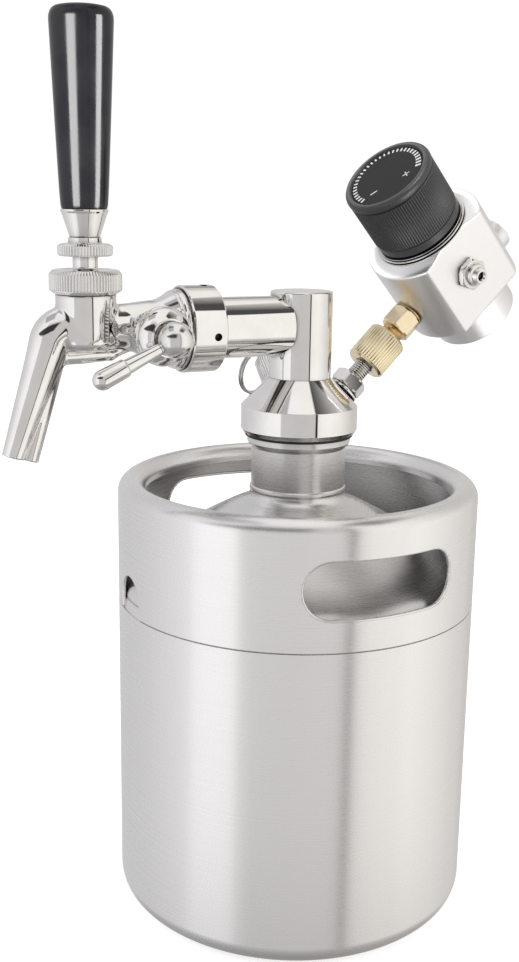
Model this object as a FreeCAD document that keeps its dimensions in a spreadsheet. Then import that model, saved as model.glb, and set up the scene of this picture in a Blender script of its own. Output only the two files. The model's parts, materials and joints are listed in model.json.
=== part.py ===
"""Countertop mini keg with a screw-on tap head and a small gas regulator.

Lengths are in millimetres. The origin is the centre of the keg's base, +Z is up and the tap points along -Y.
"""
import FreeCAD, Part

import math
import os

import Sketcher

DIMENSIONS = (
    # keg
    ("keg_radius", 82.5), ("keg_corner", 10.3), ("sheet_steel", 1.2), ("seam_height", 145.6),
    ("upstand_radius", 81.0), ("upstand_top", 150.0), ("knuckle_radius", 14.0), ("dome_radius", 110.0),
    ("dome_edge_radius", 74.2), ("dome_edge_height", 162.0), ("dome_foot_radius", 27.0),
    ("dome_foot_height", 190.5), ("neck_flare", 6.0), ("rim_height", 201.6), ("rim_roll", 6.0),
    ("slot_height", 172.2), ("slot_radius", 13.15), ("slot_spacing", 48.1), ("notch_radius", 10.3),
    ("notch_top", 163.4), ("neck_radius", 21.5), ("neck_bore", 19.5), ("neck_base", 195.5),
    ("neck_thread_radius", 23.5), ("neck_thread_base", 217.5), ("neck_top", 230.0),
    # head
    ("gasket_thickness", 2.0), ("skirt_radius", 26.5), ("skirt_bore", 23.8), ("skirt_base", 222.2),
    ("skirt_top", 234.9), ("cone_top", 247.4), ("tower_radius", 14.0), ("tower_top", 286.0),
    ("tower_spigot_radius", 10.0), ("tower_spigot_length", 7.4), ("beer_bore", 4.0), ("tube_radius", 4.76),
    ("tube_bore", 3.9), ("tube_foot", 8.0), ("tube_head", 262.0), ("gland_bore", 7.0), ("seat_radius", 21.8),
    ("seat_height", 239.6), ("seat_tilt", 45.0), ("port_radius", 4.0), ("port_depth", 6.0),
    # shank
    ("tap_height", 270.8), ("shank_radius", 13.3), ("shank_length", 46.0), ("flange_radius", 14.1),
    ("nut_start", 43.5), ("nut_length", 15.3), ("nut_radius", 18.7), ("nut_bore", 14.5), ("lip", 1.2),
    ("spanner_hole", 1.7), ("spanner_depth", 3.0), ("spanner_turn", -5.5),
    ("washer_thickness", 1.0),
    # tap
    ("neck_flange_radius", 17.2), ("faucet_neck_radius", 13.8), ("faucet_bore", 8.0), ("lever_reach", 100.0),
    ("barrel_radius", 12.5), ("barrel_base", 262.5), ("barrel_top", 286.9), ("barrel_neck_radius", 11.5),
    ("barrel_neck_top", 291.8), ("pivot_height", 290.0), ("ball_radius", 9.0), ("bonnet_radius", 15.0),
    ("bonnet_top", 296.7), ("elbow_radius", 12.0), ("elbow_reach", 113.5), ("spout_start_reach", 119.5),
    ("spout_start_height", 268.0), ("spout_end_reach", 132.1), ("spout_end_height", 220.4),
    ("spout_start_radius", 8.0), ("spout_end_radius", 5.2), ("spout_bore", 3.9), ("rib_radius", 3.6),
    ("stem_radius", 5.2), ("arm_radius", 2.0), ("arm_foot", 267.5), ("lever_nut_radius", 11.25),
    ("lever_nut_base", 302.1), ("ferrule_base", 309.6), ("handle_base", 320.8), ("handle_top", 399.0),
    ("handle_base_radius", 9.6), ("handle_top_radius", 12.8), ("stud_radius", 4.7),
    # flow control
    ("flow_reach", 74.5), ("flow_boss_radius", 8.8), ("flow_boss_length", 13.0), ("flow_nut_radius", 10.5),
    ("flow_cap_radius", 12.3), ("flow_ball_radius", 7.3), ("flow_ball_offset", 36.5), ("spindle_radius", 3.0),
    ("crank_radius", 1.8), ("crank_pin_radius", 1.1), ("flow_lever_dip", 25.0), ("flow_mid_turn", 20.0),
    # gas line and regulator
    ("hex_across", 14.0), ("stub_radius", 4.2), ("union_radius", 9.4), ("fitting_across", 13.6),
    ("regulator_reach", 77.3), ("regulator_twist", 11.5), ("regulator_radius", 28.1), ("flat_offset", 20.8),
    ("regulator_base", -16.5), ("regulator_top", 24.5), ("bonnet_ring_radius", 22.0), ("knob_radius", 20.9),
    ("knob_base", 29.5), ("knob_top", 61.5), ("cylinder_boss_radius", 20.3), ("cylinder_boss_base", -31.5),
    ("cylinder_thread_radius", 10.5), ("vent_height", 5.5),
    # relief valve
    ("relief_radius", 6.8), ("relief_length", 17.0), ("relief_rod", 2.3), ("ring_hole_height", 21.0),
    ("ring_radius", 10.5), ("ring_wire", 0.8),
)

doc = FreeCAD.newDocument("mini_keg")
sheet = doc.addObject("Spreadsheet::Sheet", "Sheet")
parts = []


class Size:
    """A length from the sheet: its value now, and the expression that gives it."""

    def __init__(self, value, text):
        self.value = value
        self.text = text

    def joined(self, other, sign, value):
        return Size(value, "(" + self.text + sign + as_size(other).text + ")")

    def __add__(self, other):
        return self.joined(other, " + ", self.value + as_size(other).value)

    def __sub__(self, other):
        return self.joined(other, " - ", self.value - as_size(other).value)

    def __mul__(self, other):
        return self.joined(other, " * ", self.value * as_size(other).value)

    def __truediv__(self, other):
        return self.joined(other, " / ", self.value / as_size(other).value)


def as_size(number):
    return number if isinstance(number, Size) else Size(float(number), repr(float(number)))


def fill_sheet():
    """Write the driving dimensions and return them by name."""
    sizes = {}
    for row, (alias, number) in enumerate(DIMENSIONS, start=1):
        sheet.set("A%d" % row, alias)
        sheet.set("B%d" % row, str(number))
        sheet.setAlias("B%d" % row, alias)
        sizes[alias] = Size(number, "Sheet." + alias)
    doc.recompute()
    return sizes


S = fill_sheet()


def bind(feature, name, size):
    """Drive one property of a feature from the sheet."""
    size = as_size(size)
    setattr(feature, name, size.value)
    if "Sheet." in size.text:
        feature.setExpression(name, size.text)


def arc_to(radius, side, r, z):
    """A round stretch of an outline that ends at (r, z); its centre lies to the left or right of the travel."""
    return ("arc", as_size(radius), side, as_size(r), as_size(z))


def outline_corners(outline):
    return [item[-2:] for item in outline]


def arc_between(start, end, radius, side):
    """The circular arc from start to end with its centre on the given side of the travel."""
    chord = end - start
    across = FreeCAD.Vector(-chord.y, chord.x, 0).normalize()
    rise = math.sqrt(max(radius ** 2 - (chord.Length / 2) ** 2, 0.0))
    centre = (start + end) * 0.5 + across * (rise if side == "left" else -rise)
    first, last = (start, end) if side == "left" else (end, start)
    angles = [math.atan2(point.y - centre.y, point.x - centre.x) for point in (first, last)]
    if angles[1] < angles[0]:
        angles[1] += 2 * math.pi
    return Part.ArcOfCircle(Part.Circle(centre, FreeCAD.Vector(0, 0, 1), radius), *angles)


def draw_outline(sketch, outline):
    """Draw a closed outline of lines and arcs, and bind each corner and radius to the sheet."""
    corners = [(as_size(r), as_size(z)) for r, z in outline_corners(outline)]
    points = [FreeCAD.Vector(r.value, z.value, 0) for r, z in corners]
    count = len(points)
    ends = []
    for index in range(count):
        start, end = points[index], points[(index + 1) % count]
        item = outline[(index + 1) % count]
        if item[0] == "arc":
            sketch.addGeometry(arc_between(start, end, item[1].value, item[2]), False)
            ends.append((1, 2) if item[2] == "left" else (2, 1))
        else:
            sketch.addGeometry(Part.LineSegment(start, end), False)
            ends.append((1, 2))
    for index, corner in enumerate(corners):
        following = (index + 1) % count
        sketch.addConstraint(Sketcher.Constraint("Coincident", index, ends[index][1], following,
                                                 ends[following][0]))
        pin_corner(sketch, index, ends[index][0], corner)
    for index in range(count):
        item = outline[(index + 1) % count]
        if item[0] == "arc":
            mark = sketch.addConstraint(Sketcher.Constraint("Radius", index, item[1].value))
            if "Sheet." in item[1].text:
                sketch.setExpression("Constraints[%d]" % mark, item[1].text)


def pin_corner(sketch, index, end, corner):
    for kind, size in zip(("DistanceX", "DistanceY"), corner):
        mark = sketch.addConstraint(Sketcher.Constraint(kind, -1, 1, index, end, size.value))
        if "Sheet." in size.text:
            sketch.setExpression("Constraints[%d]" % mark, size.text)


def origin_plane(body, role):
    return next(plane for plane in body.Origin.OriginFeatures if plane.Role == role)


def lathe(name, outline):
    """A turned piece: an outline of (radius, height) corners revolved about the local Z axis."""
    body = doc.addObject("PartDesign::Body", name)
    sketch = body.newObject("Sketcher::SketchObject", name + "_outline")
    sketch.AttachmentSupport = [(origin_plane(body, "XZ_Plane"), "")]
    sketch.MapMode = "FlatFace"
    draw_outline(sketch, outline)
    turned = body.newObject("PartDesign::Revolution", name + "_turned")
    turned.Profile = sketch
    turned.ReferenceAxis = (sketch, ["V_Axis"])
    turned.Angle = 360.0
    return body


def ring(name, inner, outer, base, top):
    """A plain ring or, with no inner radius, a disc."""
    return lathe(name, [(inner, base), (outer, base), (outer, top), (inner, top)])


def rod(name, radius, start, end, placement=FreeCAD.Placement()):
    """A round bar along the local Z axis of a placement, from start to end."""
    bar = doc.addObject("Part::Cylinder", name)
    bind(bar, "Radius", radius)
    bind(bar, "Height", as_size(end) - as_size(start))
    bar.Placement = placement * FreeCAD.Placement(FreeCAD.Vector(0, 0, as_size(start).value), FreeCAD.Rotation())
    return bar


def cone(name, start, end, start_radius, end_radius):
    """A tapered bar between two points."""
    bar = doc.addObject("Part::Cone", name)
    bind(bar, "Radius1", start_radius)
    bind(bar, "Radius2", end_radius)
    bar.Height = (end - start).Length
    turn = FreeCAD.Rotation(FreeCAD.Vector(0, 0, 1), end - start)
    bar.Placement = FreeCAD.Placement(start, turn)
    return bar


def hexagon(name, across, base, height):
    """A hexagonal bar along Z."""
    bar = doc.addObject("Part::Prism", name)
    bar.Polygon = 6
    bind(bar, "Circumradius", as_size(across) / (2 * math.cos(math.pi / 6)))
    bind(bar, "Height", height)
    bar.Placement.Base = FreeCAD.Vector(0, 0, as_size(base).value)
    return bar


def block(name, low, high):
    """A box between two corners."""
    box = doc.addObject("Part::Box", name)
    for side, first, last in zip(("Length", "Width", "Height"), low, high):
        bind(box, side, as_size(last) - as_size(first))
    box.Placement.Base = FreeCAD.Vector(*[as_size(number).value for number in low])
    return box


def fuse(name, pieces):
    joined = doc.addObject("Part::MultiFuse", name)
    joined.Shapes = pieces
    joined.Refine = True
    return joined


def cut(name, base, *tools):
    """Base less each of the tools in turn."""
    for index, tool in enumerate(tools):
        result = doc.addObject("Part::Cut", "%s%d" % (name, index))
        result.Base = base
        result.Tool = tool
        base = result
    return base


def coil(name, coil_radius, wire_radius, base, top, turns):
    """A helical spring along Z."""
    path = doc.addObject("Part::Helix", name + "_path")
    path.Pitch = (top - base) / turns
    path.Height = top - base
    path.Radius = coil_radius
    path.Placement.Base = FreeCAD.Vector(0, 0, base)
    section = doc.addObject("Part::Circle", name + "_section")
    section.Radius = wire_radius
    section.Placement = FreeCAD.Placement(FreeCAD.Vector(coil_radius, 0, base),
                                          FreeCAD.Rotation(FreeCAD.Vector(1, 0, 0), 90))
    wire = doc.addObject("Part::Sweep", name)
    wire.Sections = [section]
    wire.Spine = (path, [])
    wire.Solid = True
    wire.Frenet = True
    return wire


def finish(piece, label, placement=FreeCAD.Placement()):
    """Name a finished sub-part and put it in its place."""
    piece.Placement = placement * piece.Placement
    piece.Label = label
    parts.append(piece)


def turned_part(label, outline, placement=FreeCAD.Placement()):
    finish(lathe(label + "_body", outline), label, placement)


def plain_ring(label, inner, outer, base, top, placement=FreeCAD.Placement()):
    finish(ring(label + "_body", inner, outer, base, top), label, placement)


def at(x, y, z, axis=(0, 0, 1), angle=0.0):
    numbers = [as_size(number).value for number in (x, y, z)]
    return FreeCAD.Placement(FreeCAD.Vector(*numbers), FreeCAD.Rotation(FreeCAD.Vector(*axis), angle))


# Local frames: each one's Z runs along the piece's own axis.
SHANK = at(0, 0, S["tap_height"], (1, 0, 0), 90)
LEVER = at(0, S["lever_reach"] * -1, 0)
FLOW = at(0, S["flow_reach"] * -1, S["tap_height"], (0, 1, 0), 90)
INLET = at(0, S["seat_radius"], S["seat_height"], (1, 0, 0), S["seat_tilt"].value - 90)
RELIEF = at(S["seat_radius"] * -1, 0, S["seat_height"], (0, 1, 0), S["seat_tilt"].value - 90)


def regulator_frame():
    """Z along the regulator's knob, Y on along the gas line, X out of its front flat."""
    centre = INLET.multVec(FreeCAD.Vector(0, 0, S["regulator_reach"].value))
    lean = FreeCAD.Rotation(FreeCAD.Vector(1, 0, 0), S["seat_tilt"].value)
    twist = FreeCAD.Rotation(FreeCAD.Vector(0, 1, 0), S["regulator_twist"].value)
    return FreeCAD.Placement(centre, lean * twist)


REGULATOR = regulator_frame()


# ---------------------------------------------------------------- keg

def keg_shell():
    """The drawn cup: flat base, round corner and a wall that steps in where the collar sits."""
    radius, corner, wall = S["keg_radius"], S["keg_corner"], S["sheet_steel"]
    inside = S["upstand_radius"] - wall
    turned_part("keg_shell", [
        (0, 0), (radius - corner, 0), arc_to(corner, "left", radius, corner), (radius, S["seam_height"]),
        (S["upstand_radius"], S["seam_height"]), (S["upstand_radius"], S["upstand_top"]),
        (inside, S["upstand_top"]), (inside, corner), arc_to(corner - wall * 2, "right",
                                                             inside - corner + wall * 2, wall * 2),
        (0, wall * 2)])


def keg_shoulder():
    """The domed top sheet, from the wall's upstand to the neck."""
    wall, edge, base = S["sheet_steel"], S["upstand_radius"], S["upstand_top"]
    turned_part("keg_shoulder", [
        arc_to(S["knuckle_radius"] - wall, "right", edge - wall, base), (edge, base),
        arc_to(S["knuckle_radius"], "left", S["dome_edge_radius"], S["dome_edge_height"]),
        arc_to(S["dome_radius"], "left", S["dome_foot_radius"], S["dome_foot_height"]),
        arc_to(S["neck_flare"], "right", S["neck_radius"], S["neck_base"]),
        (S["neck_radius"] - wall, S["neck_base"]),
        arc_to(S["neck_flare"] + wall, "left", S["dome_foot_radius"] - wall / 2,
               S["dome_foot_height"] - wall),
        arc_to(S["dome_radius"] - wall, "right", S["dome_edge_radius"] - wall * 0.75,
               S["dome_edge_height"] - wall * 0.7)])


def keg_neck():
    """The spout tube with its weld bead and the thicker threaded mouth."""
    bore, radius, base = S["neck_bore"], S["neck_radius"], S["neck_base"]
    bead = radius + 1.0
    turned_part("keg_neck", [
        (bore, base), (bead - 0.3, base), (bead, base + 0.8), (bead, base + 1.8), (radius, base + 2.6),
        (radius, S["neck_thread_base"] - 1.5), (S["neck_thread_radius"], S["neck_thread_base"]),
        (S["neck_thread_radius"], S["neck_top"] - 0.8), (S["neck_thread_radius"] - 0.8, S["neck_top"]),
        (bore, S["neck_top"])])


def slot_cutter(name, placement):
    """A long rounded slot that runs through the collar wall."""
    half = S["slot_spacing"] / 2
    ends = [rod(name + "_end%d" % side, S["slot_radius"], 60, 100,
                placement * at(0, half * side, 0)) for side in (-1, 1)]
    middle = block(name + "_middle", (S["slot_radius"] * -1, half * -1, 60), (S["slot_radius"], half, 100))
    middle.Placement = placement * middle.Placement
    return ends + [middle]


def notch_cutter(name, side):
    """A drain notch, arched at the top and open at the seam."""
    radius = S["notch_radius"]
    spring = S["notch_top"] - radius
    turn = at(0, 0, spring, (1, 0, 0), -90 * side)
    arch = rod(name + "_arch", radius, 60, 100, turn)
    leg = block(name + "_leg", (radius * -1, -100 if side < 0 else 60, S["seam_height"] - 1),
                (radius, -60 if side < 0 else 100, spring))
    return [arch, leg]


def handle_collar():
    """The upper skirt: rolled rim, two hand slots and two drain notches."""
    radius, wall, roll, rim = S["keg_radius"], S["sheet_steel"], S["rim_roll"], S["rim_height"]
    shell = lathe("collar_sheet", [
        (radius - wall, S["seam_height"]), (radius, S["seam_height"]), (radius, rim - roll),
        arc_to(roll, "left", radius - roll, rim), arc_to(roll, "left", radius - roll * 2, rim - roll),
        (radius - roll * 2, rim - roll - 2.0), (radius - roll * 2 + wall, rim - roll - 2.0),
        (radius - roll * 2 + wall, rim - roll),
        arc_to(roll - wall, "right", radius - roll, rim - wall),
        arc_to(roll - wall, "right", radius - wall, rim - roll)])
    tools = []
    for side in (-1, 1):
        tools += slot_cutter("slot%d" % (side + 2), at(0, 0, S["slot_height"], (0, 1, 0), 90 * side))
        tools += notch_cutter("notch%d" % (side + 2), side)
    finish(cut("collar_cut", shell, *tools), "handle_collar")


# ---------------------------------------------------------------- dispensing head

def neck_seals():
    """The gasket on the neck's mouth and the thin ring that shows under the cap."""
    top = S["neck_top"] + S["gasket_thickness"]
    plain_ring("neck_gasket", S["neck_bore"], S["neck_thread_radius"] - 0.5, S["neck_top"], top)
    plain_ring("skirt_seal", S["skirt_bore"], S["skirt_bore"] + 0.9, S["skirt_base"] - 1.3, S["skirt_base"])


def head_cap():
    """The screw cap: a skirt with the thread inside and a steep cone that carries both gas ports."""
    ceiling = S["neck_top"] + S["gasket_thickness"]
    spigot_floor = S["cone_top"] - S["tower_spigot_length"]
    cap = lathe("cap_turned", [
        (S["gland_bore"], ceiling), (S["skirt_bore"], ceiling), (S["skirt_bore"], S["skirt_base"]),
        (S["skirt_radius"] - 1.5, S["skirt_base"]), (S["skirt_radius"], S["skirt_base"] + 2.5),
        (S["skirt_radius"], S["skirt_top"] - 0.4), (S["skirt_radius"] - 0.4, S["skirt_top"]),
        (S["tower_radius"], S["cone_top"]), (S["tower_spigot_radius"], S["cone_top"]),
        (S["tower_spigot_radius"], spigot_floor), (S["gland_bore"], spigot_floor)])
    ports = []
    for name, frame in (("inlet", INLET), ("relief", RELIEF)):
        ports.append(rod(name + "_port", S["port_radius"], S["port_depth"] * -1, 4, frame))
        ports.append(rod(name + "_drilling", 1.5, -13, -3, frame))
    finish(cut("cap_cut", cap, *ports), "head_cap")


def tower():
    """The upright post: the beer rises in it and leaves sideways into the shank."""
    spigot_floor = S["cone_top"] - S["tower_spigot_length"]
    radius, top = S["tower_radius"], S["tower_top"]
    post = lathe("tower_turned", [
        (0, spigot_floor), (S["tower_spigot_radius"] - 0.05, spigot_floor),
        (S["tower_spigot_radius"] - 0.05, S["cone_top"]), (radius, S["cone_top"]), (radius, top - 0.9),
        (radius - 0.9, top), (0, top)])
    tube_hole = rod("tower_tube_hole", S["tube_radius"] + 0.03, spigot_floor - 1, S["tube_head"] + 0.2)
    riser = rod("tower_riser", S["beer_bore"] - 0.2, S["tube_head"] - 1, S["tap_height"])
    side_port = rod("tower_side_port", S["beer_bore"], -5, 20, SHANK)
    finish(cut("tower_cut", post, tube_hole, riser, side_port), "tower")


def shank_tube():
    """The level tube from the tower, coped to fit it, with a flange that the coupling nut pulls on."""
    inner, outer, end = S["beer_bore"], S["shank_radius"], S["shank_length"]
    flange = S["nut_start"] + S["lip"] + 0.1
    tube = lathe("shank_turned", [
        (inner, 5), (outer, 5), (outer, flange), (S["flange_radius"], flange), (S["flange_radius"], end),
        (inner + 1.0, end), (inner, end - 1.0)])
    tube.Placement = SHANK
    saddle = rod("shank_saddle", S["tower_radius"], S["cone_top"] - 5, S["tower_top"] + 20)
    finish(cut("shank_cut", tube, saddle), "shank_tube")


def coupling_nut():
    """The smooth round nut with four holes for a pin spanner."""
    start = S["nut_start"]
    end = start + S["nut_length"]
    radius, bore = S["nut_radius"], S["nut_bore"]
    nut = lathe("nut_turned", [
        (S["shank_radius"] + 0.2, start), (radius - 0.8, start), (radius, start + 0.8),
        (radius, end - 0.6), (radius - 0.6, end), (bore, end), (bore, start + S["lip"]),
        (S["shank_radius"] + 0.2, start + S["lip"])])
    nut.Placement = SHANK
    middle = (start + S["nut_length"] * 0.32).value
    holes = []
    for quarter in range(4):
        angle = 90 * quarter + S["spanner_turn"].value
        turn = SHANK * at(0, 0, middle, (0, 0, 1), angle) * at(0, 0, 0, (0, 1, 0), 90)
        holes.append(rod("spanner_hole%d" % quarter, S["spanner_hole"], radius - S["spanner_depth"],
                         radius + 2, turn))
    finish(cut("nut_cut", nut, *holes), "coupling_nut")


def shank_washer():
    end = S["shank_length"]
    plain_ring("shank_washer", S["beer_bore"] + 1.2, S["flange_radius"], end, end + S["washer_thickness"], SHANK)


def dip_tube_group():
    """The tube to the bottom of the keg, the seal round it and the gland that squeezes the seal."""
    ceiling = S["neck_top"] + S["gasket_thickness"]
    seal_top = S["cone_top"] - S["tower_spigot_length"]
    radius = S["tube_radius"]
    plain_ring("dip_tube", S["tube_bore"], radius, S["tube_foot"], S["tube_head"])
    plain_ring("dip_tube_seal", radius + 0.02, S["gland_bore"] - 0.1, seal_top - 2.5, seal_top)
    turned_part("dip_tube_gland", [
        (radius + 0.05, ceiling - 4.5), (8, ceiling - 4.5), (8, ceiling), (S["gland_bore"] - 0.05, ceiling),
        (S["gland_bore"] - 0.05, seal_top - 2.5), (radius + 0.05, seal_top - 2.5)])


# ---------------------------------------------------------------- relief valve

def relief_valve():
    """A sprung plunger on the cone, lifted by a pull ring."""
    length, radius, stem = S["relief_length"], S["relief_radius"], S["relief_rod"]
    turned_part("relief_body", [
        (2, S["port_depth"] * -1 + 0.2), (S["port_radius"] - 0.05, S["port_depth"] * -1 + 0.2),
        (S["port_radius"] - 0.05, 0), (radius + 0.9, 0.0), (radius + 0.9, 2.6), (radius, 3.2),
        (radius, length - 0.8), (radius - 0.8, length), (stem + 0.4, length), (stem + 0.4, length - 1.6),
        (radius - 1.6, length - 1.6), (radius - 1.6, 1.5), (2, 1.5)], RELIEF)
    plain_ring("relief_seal", 0, 4.2, 1.5, 3.0, RELIEF)
    shaft = lathe("relief_stem_turned", [
        (0, 3.0), (4.6, 3.0), (4.6, 4.4), (stem, 4.4), (stem, S["ring_hole_height"] + 2.2),
        (stem - 0.8, S["ring_hole_height"] + 3.0), (0, S["ring_hole_height"] + 3.0)])
    eye = rod("relief_eye", 1.45, -6, 6, at(0, 0, S["ring_hole_height"], RING_TANGENT, 0) * TANGENT_TURN)
    finish(cut("relief_stem_cut", shaft, eye), "relief_stem", RELIEF)
    finish(coil("relief_coil", 3.7, 0.5, 7.8, 14.85, 3), "relief_spring", RELIEF)


# The ring passes through the stem's eye along RING_TANGENT and hangs along RING_HANG (relief valve's frame).
RING_TANGENT = FreeCAD.Vector(-0.58, 0.81, 0).normalize()
RING_HANG = (FreeCAD.Vector(-0.615, -0.45, -0.643) - RING_TANGENT * RING_TANGENT.dot(
    FreeCAD.Vector(-0.615, -0.45, -0.643))).normalize()
TANGENT_TURN = FreeCAD.Placement(FreeCAD.Vector(), FreeCAD.Rotation(FreeCAD.Vector(0, 0, 1), RING_TANGENT))


def pull_ring():
    hoop = doc.addObject("Part::Torus", "pull_ring_body")
    bind(hoop, "Radius1", S["ring_radius"])
    bind(hoop, "Radius2", S["ring_wire"])
    normal = RING_TANGENT.cross(RING_HANG)
    centre = FreeCAD.Vector(0, 0, S["ring_hole_height"].value) + RING_HANG * S["ring_radius"].value
    hoop.Placement = FreeCAD.Placement(centre, FreeCAD.Rotation(FreeCAD.Vector(0, 0, 1), normal))
    finish(hoop, "pull_ring", RELIEF)


# ---------------------------------------------------------------- gas line

def inlet_washer():
    turned_part("inlet_washer", [
        (S["port_radius"] + 0.1, 0), (7.6, 0), (7.6, 0.9), (6.9, 1.6), (S["port_radius"] + 0.1, 1.6)], INLET)


def inlet_nipple():
    """Steel: a tail in the cap's port, a hexagon and a threaded stub."""
    bore, stub = 1.8, S["stub_radius"]
    body = lathe("nipple_turned", [
        (bore, S["port_depth"] * -1 + 0.2), (S["port_radius"] - 0.05, S["port_depth"] * -1 + 0.2),
        (S["port_radius"] - 0.05, 1.6), (6.6, 1.6), (6.6, 8.5), (stub, 9.0), (stub, 21.4),
        (stub - 0.6, 22.0), (bore, 22.0)])
    flats = hexagon("nipple_hex", S["hex_across"], 1.8, 6.4)
    flats_ring = cut("nipple_hex_ring", flats, rod("nipple_hex_bore", 6.0, 0, 10))
    finish(fuse("nipple_joined", [body, flats_ring]), "inlet_nipple", INLET)


def union_joint():
    """The knurled union nut, its seal and the brass fitting that screws into the regulator."""
    stub, bore = S["stub_radius"], 1.8
    plain_ring("union_seal", bore + 0.1, stub - 0.3, 22.0, 23.6, INLET)
    turned_part("union_nut", [
        (stub + 0.2, 16.3), (S["union_radius"] - 0.9, 16.3), (S["union_radius"], 17.2),
        (S["union_radius"], 33.4), (S["union_radius"] - 0.9, 34.3), (stub - 0.5, 34.3), (stub - 0.5, 26.3),
        (stub + 0.2, 26.3)], INLET)
    stem = lathe("fitting_turned", [
        (bore, 23.6), (stub, 23.6), (stub, 26.0), (stub - 0.8, 26.0), (stub - 0.8, 34.8), (5.6, 37.6), (5.6, 48.8),
        (S["stub_radius"] - 0.1, 49.0), (S["stub_radius"] - 0.1, 57.0), (bore, 57.0)])
    flats = hexagon("fitting_hex", S["fitting_across"], 38.2, 10.2)
    flats_ring = cut("fitting_hex_ring", flats, rod("fitting_hex_bore", 5.0, 30, 60))
    finish(fuse("fitting_joined", [stem, flats_ring]), "outlet_fitting", INLET)


# ---------------------------------------------------------------- regulator

def regulator_body():
    """A round body milled flat at the front and back, bored for the diaphragm, the valve and its ports."""
    radius, base, top = S["regulator_radius"], S["regulator_base"], S["regulator_top"]
    round_body = lathe("regulator_turned", [
        (0, base), (radius - 0.8, base), (radius, base + 0.8), (radius, top - 0.6), (radius - 0.8, top),
        (S["bonnet_ring_radius"] + 0.6, top + 2.0), (17.5, top + 2.0), (17.5, 12.0), (0, 12.0)])
    flat = S["flat_offset"]
    slab = block("regulator_slab", (flat * -1, -40, -40), (flat, 40, 40))
    milled = doc.addObject("Part::MultiCommon", "regulator_milled")
    milled.Shapes = [round_body, slab]
    across = at(0, 0, S["vent_height"], (0, 1, 0), -90)
    rear_boss = rod("rear_boss", 16.0, flat - 0.1, flat + 6.5, across)
    joined = fuse("regulator_joined", [milled, rear_boss])
    front = at(0, -1.5, S["vent_height"], (0, 1, 0), 90)
    along = at(0, 0, 0, (1, 0, 0), 90)
    plug = at(2, 0, -6, (1, 0, 0), -90)
    tools = [
        rod("vent_port_hole", 4.05, 12.0, 40, front), rod("rear_port_hole", 6.05, 15.0, 40, across),
        rod("outlet_hole", S["stub_radius"] - 0.05, 18.5, 40, along), rod("outlet_drilling", 2.0, 0, 20, along),
        rod("side_port_hole", 6.05, 18.0, 40, plug), rod("side_spot_face", 8.1, 26.0, 40, plug),
        rod("valve_bore", 6.0, base - 1, 5.0), rod("valve_passage", 2.0, 4.0, 14.0),
        rod("cylinder_socket", 14.0, base - 1, base + 5.5)]
    finish(cut("regulator_cut", joined, *tools), "regulator_body", REGULATOR)


def regulator_ports():
    """The vent with its nozzle, the two blanking plugs and the port that takes the gas cylinder."""
    front = REGULATOR * at(0, -1.5, S["vent_height"], (0, 1, 0), 90)
    flat = S["flat_offset"]
    nozzle = lathe("vent_turned", [
        (1.6, 13.0), (4.0, 13.0), (4.0, flat), (6.2, flat), (6.2, flat + 3.4), (4.8, flat + 3.6),
        (4.8, flat + 5.4), (3.4, flat + 5.8), (3.2, flat + 8.2), (1.6, flat + 8.2)])
    flats = cut("vent_hex_ring", hexagon("vent_hex", 13.0, flat, 3.4), rod("vent_hex_bore", 5.5, 0, 40))
    finish(fuse("vent_joined", [nozzle, flats]), "vent_port", front)
    plain_ring("vent_valve", 0, 1.3, 14.0, flat + 6.5, front)
    rear = REGULATOR * at(0, 0, S["vent_height"], (0, 1, 0), -90)
    turned_part("rear_plug", [
        (0, 16.0), (6.0, 16.0), (6.0, flat + 6.5), (9.5, flat + 6.5), (9.5, flat + 8.6), (8.7, flat + 9.4),
        (0, flat + 9.4)], rear)
    side = REGULATOR * at(2, 0, -6, (1, 0, 0), -90)
    turned_part("side_plug", [
        (0, 19.0), (6.0, 19.0), (6.0, 26.0), (8.0, 26.0), (8.0, 30.7), (7.2, 31.5), (0, 31.5)], side)


def cylinder_port():
    """The collar that the gas cylinder screws into, with its seal and the pin that opens the cylinder."""
    radius, base, top = S["cylinder_boss_radius"], S["cylinder_boss_base"], S["regulator_base"]
    thread = S["cylinder_thread_radius"]
    turned_part("cylinder_port", [
        (3.2, top - 1.5), (thread + 1.0, top - 1.5), (thread + 1.0, base + 9.5), (thread, base + 9.5),
        (thread, base), (radius - 1.0, base), (radius, base + 1.0), (radius, top), (13.9, top),
        (13.9, top + 5.5), (3.2, top + 5.5)], REGULATOR)
    plain_ring("cylinder_seal", 4.0, 9.5, top - 3.4, top - 1.5, REGULATOR)
    turned_part("depressor_pin", [
        (0, top - 5.0), (1.2, top - 5.0), (1.8, top - 4.2), (1.8, top - 1.5), (3.1, top - 1.5), (3.1, top + 5.5),
        (0, top + 5.5)], REGULATOR)


def regulator_works():
    """Diaphragm, spring seat, regulating spring and the valve under the diaphragm."""
    plain_ring("diaphragm", 0, 17.3, 12.0, 13.0, REGULATOR)
    turned_part("diaphragm_plate", [
        (0, 13.0), (12.5, 13.0), (12.5, 14.4), (7.5, 14.4), (7.5, 16.4), (0, 16.4)], REGULATOR)
    finish(coil("regulating_coil", 9.4, 1.35, 15.8, 28.0, 4), "regulating_spring", REGULATOR)
    turned_part("valve_poppet", [
        (0, -9.0), (4.5, -9.0), (4.5, -3.0), (1.5, 2.5), (1.5, 11.9), (0, 11.9)], REGULATOR)


def regulator_bonnet():
    """The turned ring under the knob and the tube inside it that carries the adjusting screw."""
    top, ring_radius = S["regulator_top"], S["bonnet_ring_radius"]
    turned_part("regulator_bonnet", [
        (13.6, 13.0), (17.45, 13.0), (17.45, top + 2.0), (ring_radius, top + 2.0), (ring_radius, top + 2.8),
        (ring_radius - 1.2, top + 3.3), (ring_radius - 1.2, top + 4.2), (15.5, top + 4.2), (15.5, 46.0),
        (5.2, 46.0), (5.2, 42.0), (13.6, 42.0)], REGULATOR)


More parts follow.
